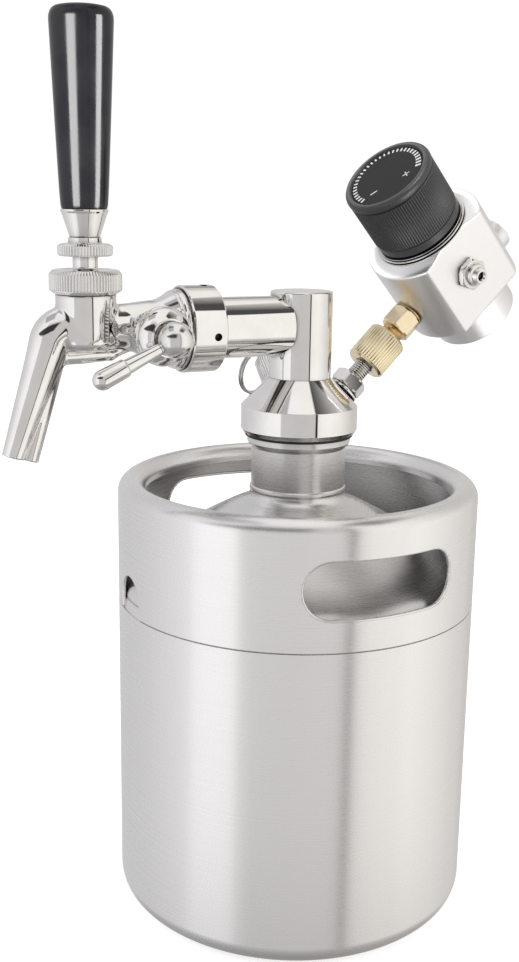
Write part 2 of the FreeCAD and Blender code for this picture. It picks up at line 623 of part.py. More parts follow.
def regulator_knob():
    """The ribbed knob, its dial, the screw it turns and the plate that rides on the screw."""
    radius, base, top = S["knob_radius"], S["knob_base"], S["knob_top"]
    turned_part("regulator_knob", [
        (16.2, base), (radius - 0.9, base), (radius - 0.4, base + 0.6), (radius - 0.4, base + 4.6),
        (radius - 0.9, base + 5.0), (radius - 0.9, top - 6.2), (radius - 0.2, top - 5.6),
        (radius, top - 2.4), arc_to(2.4, "left", radius - 2.4, top), (17.0, top), (16.2, top - 1.6),
        (4.9, top - 1.6), (4.9, 47.0), (16.2, 47.0)], REGULATOR)
    plain_ring("dial_plate", 0, 16.1, top - 1.6, top - 0.8, REGULATOR)
    plain_ring("adjusting_screw", 0, 4.85, 29.5, top - 1.7, REGULATOR)
    plain_ring("spring_plate", 5.0, 13.1, 31.0, 35.0, REGULATOR)


# ---------------------------------------------------------------- tap

def row_point(reach, height):
    """A point over the tap's centre plane."""
    return FreeCAD.Vector(0, -as_size(reach).value, as_size(height).value)


def spout_frame():
    start = row_point(S["spout_start_reach"], S["spout_start_height"])
    end = row_point(S["spout_end_reach"], S["spout_end_height"])
    return start, end


def drain_rib():
    """The round rib that runs under the body and down the back of the spout."""
    corner = row_point(111.0, 261.1)
    tail = row_point(125.0, 219.4)
    head = row_point(80.0, 261.1)
    bend = 9.0
    down = (tail - corner).normalize()
    back = (head - corner).normalize()
    half = math.acos(down.dot(back)) / 2
    trim = bend / math.tan(half)
    centre = corner + (down + back).normalize() * (bend / math.sin(half))
    crown = centre - (down + back).normalize() * bend
    path = Part.Wire([
        Part.LineSegment(head, corner + back * trim).toShape(),
        Part.Arc(corner + back * trim, crown, corner + down * trim).toShape(),
        Part.LineSegment(corner + down * trim, tail).toShape()])
    section = Part.Wire(Part.makeCircle(S["rib_radius"].value, head, FreeCAD.Vector(0, -1, 0)))
    rib = doc.addObject("Part::Feature", "drain_rib")
    rib.Shape = path.makePipeShell([section], True, False)
    return rib


def faucet_body():
    """Threaded tail, flared neck, upright barrel, elbow, tapered spout and the side boss for flow control."""
    seat = S["shank_length"] + S["washer_thickness"]
    shoulder = S["nut_start"] + S["nut_length"] + 0.4
    start, end = spout_frame()
    reach, axis = S["lever_reach"], S["tap_height"]
    tail = lathe("faucet_tail", [
        (0, seat), (S["flange_radius"] + 0.1, seat), (S["flange_radius"] + 0.1, shoulder),
        (S["neck_flange_radius"], shoulder), (S["neck_flange_radius"], shoulder + 1.2),
        arc_to(34.0, "right", S["faucet_neck_radius"], 76.0), (S["faucet_neck_radius"] - 0.6, 92.0), (0, 92.0)])
    tail.Placement = SHANK
    barrel = rod("faucet_barrel", S["barrel_radius"], S["barrel_base"], S["barrel_top"], LEVER)
    barrel_neck = rod("faucet_barrel_neck", S["barrel_neck_radius"], S["barrel_base"], S["barrel_neck_top"], LEVER)
    elbow_tube = rod("elbow_tube", S["elbow_radius"], reach - 2, S["elbow_reach"], SHANK)
    elbow = doc.addObject("Part::Sphere", "elbow_ball")
    bind(elbow, "Radius", S["elbow_radius"] + 0.02)
    elbow.Placement.Base = row_point(S["elbow_reach"], axis)
    blend = cone("spout_blend", row_point(114.5, 269.5), row_point(122.5, 256.5), 11.3, 7.3)
    spout = cone("spout_taper", start, end, S["spout_start_radius"], S["spout_end_radius"])
    boss = rod("flow_boss", S["flow_boss_radius"], 0, S["flow_boss_length"], FLOW)
    outside = fuse("faucet_outside", [tail, barrel, barrel_neck, elbow_tube, elbow, blend, spout, boss, drain_rib()])
    spout_turn = FreeCAD.Placement(end, FreeCAD.Rotation(FreeCAD.Vector(0, 0, 1), start - end))
    tools = [
        rod("rear_bore", S["faucet_bore"], seat - 1, reach + 2, SHANK),
        rod("lever_chamber", S["faucet_bore"] - 0.4, S["barrel_base"] + 2.5, S["barrel_top"] + 9, LEVER),
        rod("ball_chamber", S["ball_radius"] + 0.35, 283.0, S["barrel_top"] + 9, LEVER),
        rod("seal_bore", 5.6, reach, S["spout_start_reach"] - 0.5, SHANK),
        rod("spout_hole", S["spout_bore"], -1, 51.0, spout_turn),
        rod("flow_socket", 7.0, 9.0, 20.0, FLOW), rod("spindle_hole", S["spindle_radius"] + 0.3, 0, 12.0, FLOW),
        rod("flow_spot_face", S["flow_nut_radius"] + 0.4, S["flow_boss_length"], 22.0, FLOW)]
    finish(cut("faucet_cut", outside, *tools), "faucet_body")


def faucet_bonnet():
    """The big knurled ring that holds the lever's ball down."""
    radius, base, top = S["bonnet_radius"], S["barrel_top"], S["bonnet_top"]
    neck = S["barrel_neck_radius"] + 0.1
    turned_part("faucet_bonnet", [
        (neck, base), (radius - 1.6, base), (radius - 0.4, base + 1.0), (radius, base + 1.8),
        (radius, top - 1.8), (radius - 1.6, top - 0.3), (radius - 2.6, top), (9.7, top), (8.5, top - 2.7),
        (9.5, S["barrel_neck_top"] + 0.1), (neck, S["barrel_neck_top"] + 0.1)], LEVER)


def ball_washer():
    plain_ring("ball_washer", 7.8, S["ball_radius"] + 0.3, 283.0, 284.8, LEVER)


def tap_lever():
    """One turned piece: an arm that works the seal, the ball it pivots on, the stem and its thread."""
    ball, pivot, stem, arm = S["ball_radius"], S["pivot_height"], S["stem_radius"], S["arm_radius"]
    rise = math.sqrt(ball.value ** 2 - stem.value ** 2)
    fall = math.sqrt(ball.value ** 2 - arm.value ** 2)
    turned_part("tap_lever", [
        (0, S["arm_foot"]), (arm - 0.8, S["arm_foot"]), (arm, S["arm_foot"] + 0.8), (arm, pivot - fall),
        arc_to(ball, "left", ball, pivot), arc_to(ball, "left", stem, pivot + rise),
        (stem, S["ferrule_base"]), (S["stud_radius"], S["ferrule_base"]), (S["stud_radius"], S["handle_base"] + 12),
        (0, S["handle_base"] + 12)], LEVER)


def handle_group():
    """Everything that tilts with the lever above the bonnet."""
    base, stem, stud = S["lever_nut_base"], S["stem_radius"], S["stud_radius"]
    foot, head = S["ferrule_base"], S["handle_base"]
    turned_part("lever_nut", [
        (stem + 0.02, base), (S["lever_nut_radius"] - 0.4, base), (S["lever_nut_radius"], base + 0.4),
        (S["lever_nut_radius"], base + 4.2), (S["lever_nut_radius"] - 1.4, base + 5.0), (6.9, base + 5.2),
        (6.6, foot), (stem + 0.02, foot)], LEVER)
    turned_part("handle_ferrule", [
        (stud + 0.02, foot), (6.0, foot), (6.3, foot + 0.4), (9.7, head - 0.5), (9.5, head),
        (stud + 0.02, head)], LEVER)
    turned_part("handle_insert", [
        (stud + 0.02, head), (6.0, head), (6.0, head + 17), (0, head + 17), (0, head + 15),
        (stud + 0.02, head + 15)], LEVER)
    radius, top = S["handle_top_radius"], S["handle_top"]
    turned_part("tap_handle", [
        (6.02, head), (S["handle_base_radius"] - 0.3, head), (S["handle_base_radius"], head + 0.5),
        (radius, top - 6.0), (radius, top - 4.4), (radius - 0.5, top - 3.0), (radius - 2.2, top - 1.6),
        (7.0, top - 0.5), (3.5, top), (0, top), (0, head + 17.2), (6.02, head + 17.2)], LEVER)


def seal_shaft():
    """The forward seal: a shaft with an eye for the lever's arm, and the seal on its nose."""
    reach = S["lever_reach"]
    shaft = lathe("seal_shaft_turned", [
        (0, reach - 7.5), (4.0, reach - 7.5), (4.6, reach - 6.5), (4.6, reach + 7), (2.4, reach + 8.2),
        (2.4, reach + 9.5), (4.8, reach + 9.5), (4.8, reach + 10.3), (3.6, reach + 10.3), (3.6, reach + 12.4),
        (4.8, reach + 12.4), (4.8, reach + 13.2), (0, reach + 13.2)])
    shaft.Placement = SHANK
    reach_low = reach * -1 - 5.3
    eye = block("seal_shaft_eye", (-2.9, reach_low, 260), (2.9, reach * -1 + 5.3, 282))
    finish(cut("seal_shaft_cut", shaft, eye), "seal_shaft")
    plain_ring("shaft_seal", 3.62, 5.3, reach + 10.35, reach + 12.35, SHANK)


# ---------------------------------------------------------------- flow control

def flow_control():
    """The turning spindle whose eccentric pin slides a tapered plug in the tap's bore."""
    spindle, boss = S["spindle_radius"], S["flow_boss_length"]
    plain_ring("flow_seal", spindle + 0.3, 6.8, 9.0, 10.5, FLOW)
    turned_part("flow_bonnet", [
        (spindle + 0.3, 10.5), (6.95, 10.5), (6.95, boss), (S["flow_nut_radius"] - 0.7, boss),
        (S["flow_nut_radius"], boss + 0.7), (S["flow_nut_radius"], boss + 6.8),
        (S["flow_nut_radius"] - 0.7, boss + 7.5), (spindle + 0.3, boss + 7.5)], FLOW)
    cap = boss + 7.5
    turned_part("flow_cap", [
        (spindle + 0.3, cap), (S["flow_cap_radius"] - 0.9, cap), (S["flow_cap_radius"], cap + 0.9),
        (S["flow_cap_radius"], cap + 3.6), arc_to(9.0, "left", 8.1, cap + 9.6), (7.0, cap + 9.6),
        (5.5, cap + 7.6), (spindle + 0.3, cap + 7.6)], FLOW)
    flow_spindle()
    reach, axis = S["flow_reach"], S["tap_height"]
    plug = lathe("compensator_turned", [
        (0, reach - 11), (2.2, reach - 11), (5.9, reach - 3), (6.2, reach + 3), (4.2, reach + 6.5), (0, reach + 6.5)])
    plug.Placement = SHANK
    y_pin = -(reach.value + S["crank_radius"].value * math.sin(math.radians(S["flow_mid_turn"].value)))
    slot = block("compensator_slot", (-1.0, y_pin - 1.6, axis - 4.2), (9.0, y_pin + 1.6, axis + 1.4))
    finish(cut("compensator_cut", plug, slot), "flow_compensator")


def flow_spindle():
    """Ball knob, shaft and eccentric pin in one piece, with a socket for the lever."""
    spindle, ball, offset = S["spindle_radius"], S["flow_ball_radius"], S["flow_ball_offset"]
    meet = math.sqrt(ball.value ** 2 - spindle.value ** 2)
    shaft = lathe("spindle_turned", [
        (0, 7.0), (spindle, 7.0), (spindle, offset - meet), arc_to(ball, "left", ball, offset),
        arc_to(ball, "left", 0, offset + ball)])
    angle = math.radians(S["flow_mid_turn"].value)
    crank = S["crank_radius"].value
    # In the flow frame X points down (-Z of the row) and Y along the row's +Y.
    pin = rod("crank_pin", S["crank_pin_radius"], 0.5, 7.5,
              at(crank * math.cos(angle), -crank * math.sin(angle), 0))
    joined = fuse("spindle_joined", [shaft, pin])
    socket = rod("lever_socket", 2.2, 3.8, 12, at(0, 0, offset) * at(0, 0, 0, (0, 1, 0), -90) * lever_dip())
    finish(cut("spindle_cut", joined, socket), "flow_spindle", FLOW)


def lever_dip():
    """From the row's axes to the lever's direction: forward and a little down."""
    return at(0, 0, 0, (1, 0, 0), 90 + S["flow_lever_dip"].value)


def flow_lever():
    ball = at(S["flow_ball_offset"], S["flow_reach"] * -1, S["tap_height"])
    turned_part("flow_lever", [
        (0, 4.0), (2.15, 4.0), (2.15, 7.6), (2.3, 8.0), (3.1, 23.0), (3.9, 23.6), (4.1, 34.0),
        arc_to(4.1, "left", 0, 38.1)], ball * lever_dip())


def build():
    keg_shell()
    keg_shoulder()
    keg_neck()
    handle_collar()
    neck_seals()
    head_cap()
    tower()
    shank_tube()
    coupling_nut()
    shank_washer()
    dip_tube_group()
    relief_valve()
    pull_ring()
    inlet_washer()
    inlet_nipple()
    union_joint()
    regulator_body()
    regulator_ports()
    cylinder_port()
    regulator_works()
    regulator_bonnet()
    regulator_knob()
    faucet_body()
    faucet_bonnet()
    ball_washer()
    tap_lever()
    handle_group()
    seal_shaft()
    flow_control()
    flow_lever()
    doc.recompute()


def check():
    """Stop before writing anything if a feature failed or a shape is not sound."""
    failed = [feature.Name for feature in doc.Objects if {"Invalid", "Error"} & set(feature.State)]
    if failed:
        raise RuntimeError("did not recompute: " + ", ".join(failed))
    for piece in parts:
        if piece.Shape.isNull() or not piece.Shape.isValid():
            raise RuntimeError("%s has no valid shape" % piece.Label)
        if piece.Shape.Volume <= 0:
            raise RuntimeError("%s has no volume" % piece.Label)


def write():
    os.makedirs("parts", exist_ok=True)
    for piece in parts:
        piece.Shape.exportStep(os.path.join("parts", piece.Label + ".step"))
        print("%-20s solids %d  volume %10.1f" % (piece.Label, len(piece.Shape.Solids), piece.Shape.Volume))


build()
check()
write()
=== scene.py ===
import json
import math
from functools import partial

import bmesh
import bpy
import numpy as np
from mathutils import Matrix, Vector


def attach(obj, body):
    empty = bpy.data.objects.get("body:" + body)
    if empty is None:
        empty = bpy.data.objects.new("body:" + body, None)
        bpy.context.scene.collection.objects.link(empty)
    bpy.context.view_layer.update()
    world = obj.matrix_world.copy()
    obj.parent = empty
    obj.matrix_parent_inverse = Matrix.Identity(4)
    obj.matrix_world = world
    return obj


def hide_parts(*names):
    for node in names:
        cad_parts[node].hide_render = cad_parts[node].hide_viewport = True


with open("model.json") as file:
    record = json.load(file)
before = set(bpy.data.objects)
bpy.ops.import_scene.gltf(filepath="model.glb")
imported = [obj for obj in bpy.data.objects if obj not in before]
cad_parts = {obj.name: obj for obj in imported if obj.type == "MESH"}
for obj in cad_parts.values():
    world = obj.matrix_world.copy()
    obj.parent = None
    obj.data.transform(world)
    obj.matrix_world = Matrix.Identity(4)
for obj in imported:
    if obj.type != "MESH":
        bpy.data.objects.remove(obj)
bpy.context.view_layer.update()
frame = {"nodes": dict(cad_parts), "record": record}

MM = 0.001
SCENE = bpy.context.scene
BODY_OF = {node: body for body, nodes in frame["record"]["behaviour"]["bodies"].items() for node in nodes}
SLOT_OF = {part["node"]: part["material_slot"] for part in frame["record"]["subparts"]}


# ---- local frames, in millimetres

def place(x, y, z, *turns):
    """A frame at a point, turned about its own axes in the order given."""
    matrix = Matrix.Translation((x, y, z))
    for axis, degrees in turns:
        matrix = matrix @ Matrix.Rotation(math.radians(degrees), 4, axis)
    return matrix


TAP_HEIGHT, LEVER_REACH, FLOW_REACH = 270.8, 100.0, 74.5
SHANK = place(0, 0, TAP_HEIGHT, ("X", 90))
LEVER = place(0, -LEVER_REACH, 0)
FLOW = place(0, -FLOW_REACH, TAP_HEIGHT, ("Y", 90))
BALL = place(36.5, -FLOW_REACH, TAP_HEIGHT)
INLET = place(0, 21.8, 239.6, ("X", -45))
RELIEF = place(-21.8, 0, 239.6, ("Y", -45))
REGULATOR = INLET @ place(0, 0, 77.3, ("X", 90), ("Y", 11.5))
PLAIN = Matrix.Identity(4)


# ---- mesh building

def rounded(outline, radius, steps=3):
    """An outline with its corners rounded, and a support point just past each end of a rounding."""
    count = len(outline)
    closed = outline[0][0] > 0 or outline[-1][0] > 0
    points = []
    slightest_turn, longest_reach, furthest_support = 0.12, 0.42, 0.48
    for index, (r, z, *own) in enumerate(outline):
        corner = np.array((r, z), float)
        size = own[0] if own else radius
        if r <= 0 or (not closed and index in (0, count - 1)) or size <= 0:
            points.append(corner)
            continue
        before = np.array(outline[index - 1][:2], float) - corner
        after = np.array(outline[(index + 1) % count][:2], float) - corner
        lengths = np.linalg.norm(before), np.linalg.norm(after)
        before, after = before / lengths[0], after / lengths[1]
        turn = math.pi - math.acos(float(np.clip(before @ after, -1, 1)))
        if turn < slightest_turn:
            points.append(corner)
            continue
        reach = min(size * math.tan(turn / 2), longest_reach * min(lengths))
        support = min(reach * 1.25, furthest_support * min(lengths))
        points.append(corner + before * support)
        for step in range(steps + 1):
            share = step / steps
            start, end = corner + before * reach, corner + after * reach
            points.append(start * (1 - share) ** 2 + corner * 2 * share * (1 - share) + end * share ** 2)
        points.append(corner + after * support)
    return np.array(points)


def make_object(name, vertices, faces, local=PLAIN, smooth=True, sharp=None):
    """A mesh object from millimetre points in a local frame."""
    matrix = np.array(local)
    points = (np.asarray(vertices, float) @ matrix[:3, :3].T + matrix[:3, 3]) * MM
    mesh = bpy.data.meshes.new(name)
    mesh.from_pydata(points.tolist(), [], [list(face) for face in faces])
    mesh.validate()
    if smooth:
        mesh.shade_smooth()
        if sharp:
            mesh.set_sharp_from_angle(angle=math.radians(sharp))
    obj = bpy.data.objects.new(name, mesh)
    SCENE.collection.objects.link(obj)
    return obj


def lathe(name, outline, local=PLAIN, soft=0.25, segments=96, shape=None, steps=3, sharp=None):
    """An outline turned about Z; shape may change the radius round the turn."""
    points = rounded(outline, soft, steps) if soft else np.array([p[:2] for p in outline], float)
    if shape is not None:
        points = with_rows(points, *shape.span)
    r, z = points.T
    if np.sum(r * np.roll(z, -1) - np.roll(r, -1) * z) < 0:
        points = points[::-1]
    angles = np.arange(segments) * 2 * math.pi / segments
    vertices, rows = [], []
    for r, z in points:
        if r <= 1e-9:
            rows.append([len(vertices)] * segments)
            vertices.append((0.0, 0.0, z))
            continue
        radii = np.full(segments, r) if shape is None else shape(angles, r, z)
        rows.append(list(range(len(vertices), len(vertices) + segments)))
        vertices += [(a * math.cos(t), a * math.sin(t), z) for a, t in zip(radii, angles)]
    faces = []
    for index in range(len(rows)):
        low, high = rows[index], rows[(index + 1) % len(rows)]
        if low[0] == low[1] and high[0] == high[1]:
            continue
        for j in range(segments):
            following = (j + 1) % segments
            quad = [low[j], low[following], high[following], high[j]]
            face = [v for n, v in enumerate(quad) if v not in quad[:n]]
            if len(face) > 2:
                faces.append(face)
    return make_object(name, vertices, faces, local, sharp=sharp)


def with_rows(points, low, high, above):
    """Add a row just inside and just outside each end of a stretch, on the walls outside a radius."""
    result = []
    for index, start in enumerate(points):
        end = points[(index + 1) % len(points)]
        result.append(start)
        rise = end[1] - start[1]
        levels = [level for level in (low - 0.02, low + 0.25, high - 0.25, high + 0.02)
                  if min(start[1], end[1]) < level < max(start[1], end[1])]
        if min(start[0], end[0]) < above or abs(rise) < 1e-6:
            continue
        for level in sorted(levels, reverse=rise < 0):
            result.append(start + (end - start) * (level - start[1]) / rise)
    return np.array(result)


def knurl(count, depth, low, high, above=0.0):
    """Straight ribs between two heights, on what lies outside a radius."""
    def shape(angles, r, z):
        if not low <= z <= high or r < above:
            return np.full(len(angles), r)
        wave = np.abs(np.sin(angles * count / 2)) ** 0.7
        return r - depth * (1 - wave)
    shape.span = (low, high, above)
    return shape


def hexagonal(across, low, high, turn=0.0):
    """Six flats between two heights; a smaller outline radius there becomes the corner chamfer."""
    def shape(angles, r, z):
        if not low <= z <= high:
            return np.full(len(angles), r)
        wedge = (angles + turn + math.pi / 6) % (math.pi / 3) - math.pi / 6
        return np.minimum(r, across / 2 / np.cos(wedge))
    shape.span = (low, high, across / 2 - 1)
    return shape


def sweep(name, path, radius, local=PLAIN, closed=True, around=12, up=None):
    """A round bar along a path of points."""
    path = np.asarray(path, float)
    count = len(path)
    ahead = np.roll(path, -1, 0) - np.roll(path, 1, 0)
    if not closed:
        ahead[0], ahead[-1] = path[1] - path[0], path[-1] - path[-2]
    ahead /= np.linalg.norm(ahead, axis=1)[:, None]
    vertices = []
    side = np.array([1.0, 0, 0] if abs(ahead[0][0]) < 0.8 else [0, 1.0, 0])
    for index in range(count):
        guide = side if up is None else up[index]
        side = guide - ahead[index] * float(guide @ ahead[index])
        side /= np.linalg.norm(side)
        other = np.cross(ahead[index], side)
        for step in range(around):
            turn = 2 * math.pi * step / around
            vertices.append(path[index] + radius * (side * math.cos(turn) + other * math.sin(turn)))
    faces = []
    for index in range(count if closed else count - 1):
        following = (index + 1) % count
        for step in range(around):
            beside = (step + 1) % around
            faces.append([index * around + step, index * around + beside,
                          following * around + beside, following * around + step])
    if not closed:
        faces.append(list(range(around))[::-1])
        faces.append([(count - 1) * around + step for step in range(around)])
    return make_object(name, vertices, faces, local, sharp=None if closed else 50)


def carve(obj, cutters):
    """Cut other meshes out of obj for good."""
    for cutter in cutters:
        step = obj.modifiers.new("cut", "BOOLEAN")
        step.operation = "DIFFERENCE"
        step.solver = "EXACT"
        step.object = cutter
    graph = bpy.context.evaluated_depsgraph_get()
    mesh = bpy.data.meshes.new_from_object(obj.evaluated_get(graph))
    obj.modifiers.clear()
    obj.data = mesh
    mesh.shade_smooth()
    mesh.set_sharp_from_angle(angle=math.radians(32))
    for cutter in cutters:
        bpy.data.objects.remove(cutter)
    return obj


# ---- smooth solids from distance fields

def smooth_min(a, b, blend):
    share = np.clip(0.5 + 0.5 * (b - a) / blend, 0, 1)
    return b * (1 - share) + a * share - blend * share * (1 - share)


def smooth_max(a, b, blend):
    return -smooth_min(-a, -b, blend)


def round_cone(p, start, end, start_radius, end_radius):
    """Distance to a tapered bar with round ends."""
    start, end = np.array(start, float), np.array(end, float)
    along = end - start
    share = np.clip(((p - start) @ along) / (along @ along), 0, 1)
    nearest = start + share[..., None] * along
    return np.linalg.norm(p - nearest, axis=-1) - (start_radius + share * (end_radius - start_radius))


def net_mesh(field, low, high, step):
    """A closed quad mesh on the zero level of a distance field, by surface nets that then close in on it."""
    axes = [np.arange(a, b + step, step) for a, b in zip(low, high)]
    grid = np.stack(np.meshgrid(*axes, indexing="ij"), -1)
    values = field(grid)
    shape = np.array(values.shape) - 1
    corners = list(np.ndindex(2, 2, 2))

    def corner(offset):
        i, j, k = offset
        return values[i:i + shape[0], j:j + shape[1], k:k + shape[2]]

    inside = np.stack([corner(c) < 0 for c in corners])
    mixed = inside.any(0) & ~inside.all(0)
    cells = np.argwhere(mixed)
    total = np.zeros((len(cells), 3))
    hits = np.zeros(len(cells))
    for first in corners:
        for axis in range(3):
            if first[axis]:
                continue
            second = tuple(c + (n == axis) for n, c in enumerate(first))
            a, b = corner(first)[mixed], corner(second)[mixed]
            crossed = (a < 0) != (b < 0)
            share = np.where(crossed, a / np.where(crossed, a - b, 1), 0)
            point = np.array(first, float)[None] + share[:, None] * np.eye(3)[axis]
            total += np.where(crossed[:, None], point, 0)
            hits += crossed
    points = np.array(low, float) + (cells + total / hits[:, None]) * step
    number = np.full(mixed.shape, -1)
    number[mixed] = np.arange(len(cells))
    faces = []
    for axis in range(3):
        first, second = [(1, 2), (2, 0), (0, 1)][axis]
        lower = np.take(values, range(values.shape[axis] - 1), axis) < 0
        upper = np.take(values, range(1, values.shape[axis]), axis) < 0
        ring = np.zeros((4, 3), int)
        ring[:, first], ring[:, second] = (-1, 0, 0, -1), (-1, -1, 0, 0)
        for spot in np.argwhere(lower != upper):
            around = spot + ring
            if around.min() < 0 or (around >= shape).any():
                continue
            face = [int(number[tuple(cell)]) for cell in around]
            faces.append(face if lower[tuple(spot)] else face[::-1])
    passes, probe, flattest, longest_move = 4, 0.02, 0.2, 0.4 * step
    for _ in range(passes):
        slopes = [(field(points + way) - field(points - way)) / (2 * probe) for way in np.eye(3) * probe]
        slope = np.stack(slopes, -1)
        move = field(points)[:, None] * slope / np.maximum((slope ** 2).sum(-1), flattest)[:, None]
        size = np.linalg.norm(move, axis=1)
        points = points - move * np.minimum(1, longest_move / np.maximum(size, 1e-9))[:, None]
    return points, faces


# ---- materials

def node_tools(name):
    material = bpy.data.materials.new(name)
    material.use_nodes = True
    tree = material.node_tree
    return material, tree, tree.nodes["Principled BSDF"]


def feed(tree, node, inputs):
    """Link each input to the socket it gets, or set it to the plain value."""
    for key, value in inputs.items():
        if isinstance(value, bpy.types.NodeSocket):
            tree.links.new(value, node.inputs[key])
        else:
            node.inputs[key].default_value = value


def add_node(tree, kind, output, inputs=None, **settings):
    """One output of a new node; its settings come first, because they can change the sockets."""
    node = tree.nodes.new("ShaderNode" + kind)
    for key, value in settings.items():
        setattr(node, key, value)
    feed(tree, node, inputs or {})
    return node.outputs[output]


def ramp(tree, source, low, high, start=0.0, end=1.0):
    """Map a stretch of a pattern to a range of numbers."""
    return add_node(tree, "MapRange", "Result", {
        "Value": source, "From Min": start, "From Max": end, "To Min": low, "To Max": high})


def math_node(tree, operation, *values):
    return add_node(tree, "Math", 0, dict(enumerate(values)), operation=operation)


def noise(tree, vector, scale, detail=3.0, rough=0.55):
    return add_node(tree, "TexNoise", "Fac", {
        "Vector": vector, "Scale": scale, "Detail": detail, "Roughness": rough})


def object_vector(tree, scale=(1, 1, 1)):
    inner = add_node(tree, "TexCoord", "Object")
    return add_node(tree, "Mapping", "Vector", {"Vector": inner, "Scale": scale})


def split_xyz(tree, vector):
    return add_node(tree, "SeparateXYZ", 0, {0: vector}).node.outputs


def mix_colour(tree, factor, first, second):
    return add_node(tree, "Mix", "Result", {
        "Factor": factor, "A": (*first, 1), "B": (*second, 1)}, data_type="RGBA")


def two_tones(tree, pattern, first, second):
    """One colour in the low parts of a pattern and another in its high parts."""
    return mix_colour(tree, ramp(tree, pattern, 0, 1, 0.3, 0.7), first, second)


def add_bump(tree, shader, height, strength, distance):
    normal = add_node(tree, "Bump", "Normal", {"Height": height, "Strength": strength, "Distance": distance})
    feed(tree, shader, {"Normal": normal})


def turned_vector(tree):
    """Coordinates that run slowly round the keg and fast across it, for lines of brushing."""
    calc = partial(math_node, tree)
    slow, fast, rise = 9.0, 1500.0, 1.7
    x, y, z = split_xyz(tree, add_node(tree, "TexCoord", "Object"))
    radius = calc("SQRT", calc("ADD", calc("MULTIPLY", x, x), calc("MULTIPLY", y, y)))
    across = calc("SUBTRACT", calc("MULTIPLY", z, rise), radius)
    return add_node(tree, "CombineXYZ", 0, {
        0: calc("MULTIPLY", x, slow), 1: calc("MULTIPLY", y, slow), 2: calc("MULTIPLY", across, fast)})


def with_painted_shade(tree, colour, dark, distance, start=0.35, end=0.95):
    """A colour with painted shade: it goes darker in narrow or deep places, by ambient occlusion."""
    hidden = add_node(tree, "AmbientOcclusion", "AO", {"Distance": distance}, samples=6)
    return add_node(tree, "VectorMath", 0, {0: colour, "Scale": ramp(tree, hidden, dark, 1.0, start, end)},
                    operation="SCALE")


def brushed_steel(name, depth=None):
    """Steel with fine lines round the keg; with a depth, painted shade makes the inside of a hollow go
    darker.
    """
    material, tree, shader = node_tools(name)
    calc = partial(math_node, tree)
    lines = noise(tree, turned_vector(tree), 1.0, 4.0, 0.6)
    wide = noise(tree, object_vector(tree, (12, 12, 30)), 1.0, 2.0)
    shade = calc("ADD", calc("MULTIPLY", lines, 0.7), calc("MULTIPLY", wide, 0.3))
    tone = two_tones(tree, shade, (0.832, 0.82, 0.81), (0.85, 0.838, 0.828))
    # painted shade in the hollows, from ambient occlusion
    if depth:
        tone = with_painted_shade(tree, tone, 0.62, depth, 0.3, 0.92)
    feed(tree, shader, {
        "Base Color": tone, "Roughness": ramp(tree, lines, 0.25, 0.3, 0.3, 0.7), "Metallic": 1.0,
        "Anisotropic": 0.75, "Anisotropic Rotation": 0.25,
        "Tangent": add_node(tree, "Tangent", 0, direction_type="RADIAL", axis="Z")})
    add_bump(tree, shader, lines, 0.012, 0.00005)
    return material


def polished_metal(name, colour, rough, cloud=0.03, dark=0.3):
    material, tree, shader = node_tools(name)
    haze = noise(tree, object_vector(tree), 90.0)
    tone = two_tones(tree, haze, [channel * 0.93 for channel in colour], colour)
    # Painted shade: the tone darkens in crevices, from ambient occlusion within 2.2 mm, down to dark times
    # the tone.
    feed(tree, shader, {
        "Base Color": with_painted_shade(tree, tone, dark, 0.0022), "Metallic": 1.0,
        "Roughness": ramp(tree, haze, rough, rough + cloud, 0.35, 0.75)})
    return material


def blasted_metal(name, colour, rough, grain):
    material, tree, shader = node_tools(name)
    fine = noise(tree, object_vector(tree), grain, 4.0, 0.7)
    feed(tree, shader, {
        "Base Color": two_tones(tree, fine, [channel * 0.9 for channel in colour], colour), "Metallic": 1.0,
        "Roughness": ramp(tree, fine, rough - 0.06, rough + 0.08, 0.3, 0.7)})
    add_bump(tree, shader, fine, 0.18, 0.00005)
    return material


def moulded(name, colour, light, rough, grain, bump, gloss=0.5):
    material, tree, shader = node_tools(name)
    fine = noise(tree, object_vector(tree), grain, 3.0, 0.6)
    # Painted shade: the colour darkens in crevices, from ambient occlusion within 1.5 mm.
    feed(tree, shader, {
        "Base Color": with_painted_shade(tree, two_tones(tree, fine, colour, light), 0.15, 0.0015),
        "Roughness": ramp(tree, fine, rough, rough + 0.08, 0.3, 0.7), "Specular IOR Level": gloss})
    if bump:
        add_bump(tree, shader, fine, bump, 0.00008)
    return material


MATERIALS = {
    "keg_steel": brushed_steel("keg_steel"),
    "polished_steel": polished_metal("polished_steel", (0.90, 0.885, 0.865), 0.025),
    "dull_steel": polished_metal("dull_steel", (0.62, 0.61, 0.59), 0.16, 0.1),
    "black_rubber": moulded("black_rubber", (0.012, 0.012, 0.013), (0.03, 0.03, 0.03), 0.6, 900, 0.2),
    "gloss_black": moulded("gloss_black", (0.004, 0.004, 0.005), (0.007, 0.007, 0.008), 0.12, 60, 0.0, 0.2),
    "matte_black": moulded("matte_black", (0.010, 0.010, 0.0105),
                           (0.018, 0.018, 0.019), 0.38, 1800, 0.2, 0.3),
    "white_plastic": moulded("white_plastic", (0.75, 0.75, 0.73), (0.85, 0.85, 0.83), 0.4, 500, 0.1),
    "brass": polished_metal("brass", (0.98, 0.84, 0.575), 0.15, 0.1, dark=0.5),
    "satin_aluminium": blasted_metal("satin_aluminium", (0.96, 0.955, 0.95), 0.36, 2600.0),
}
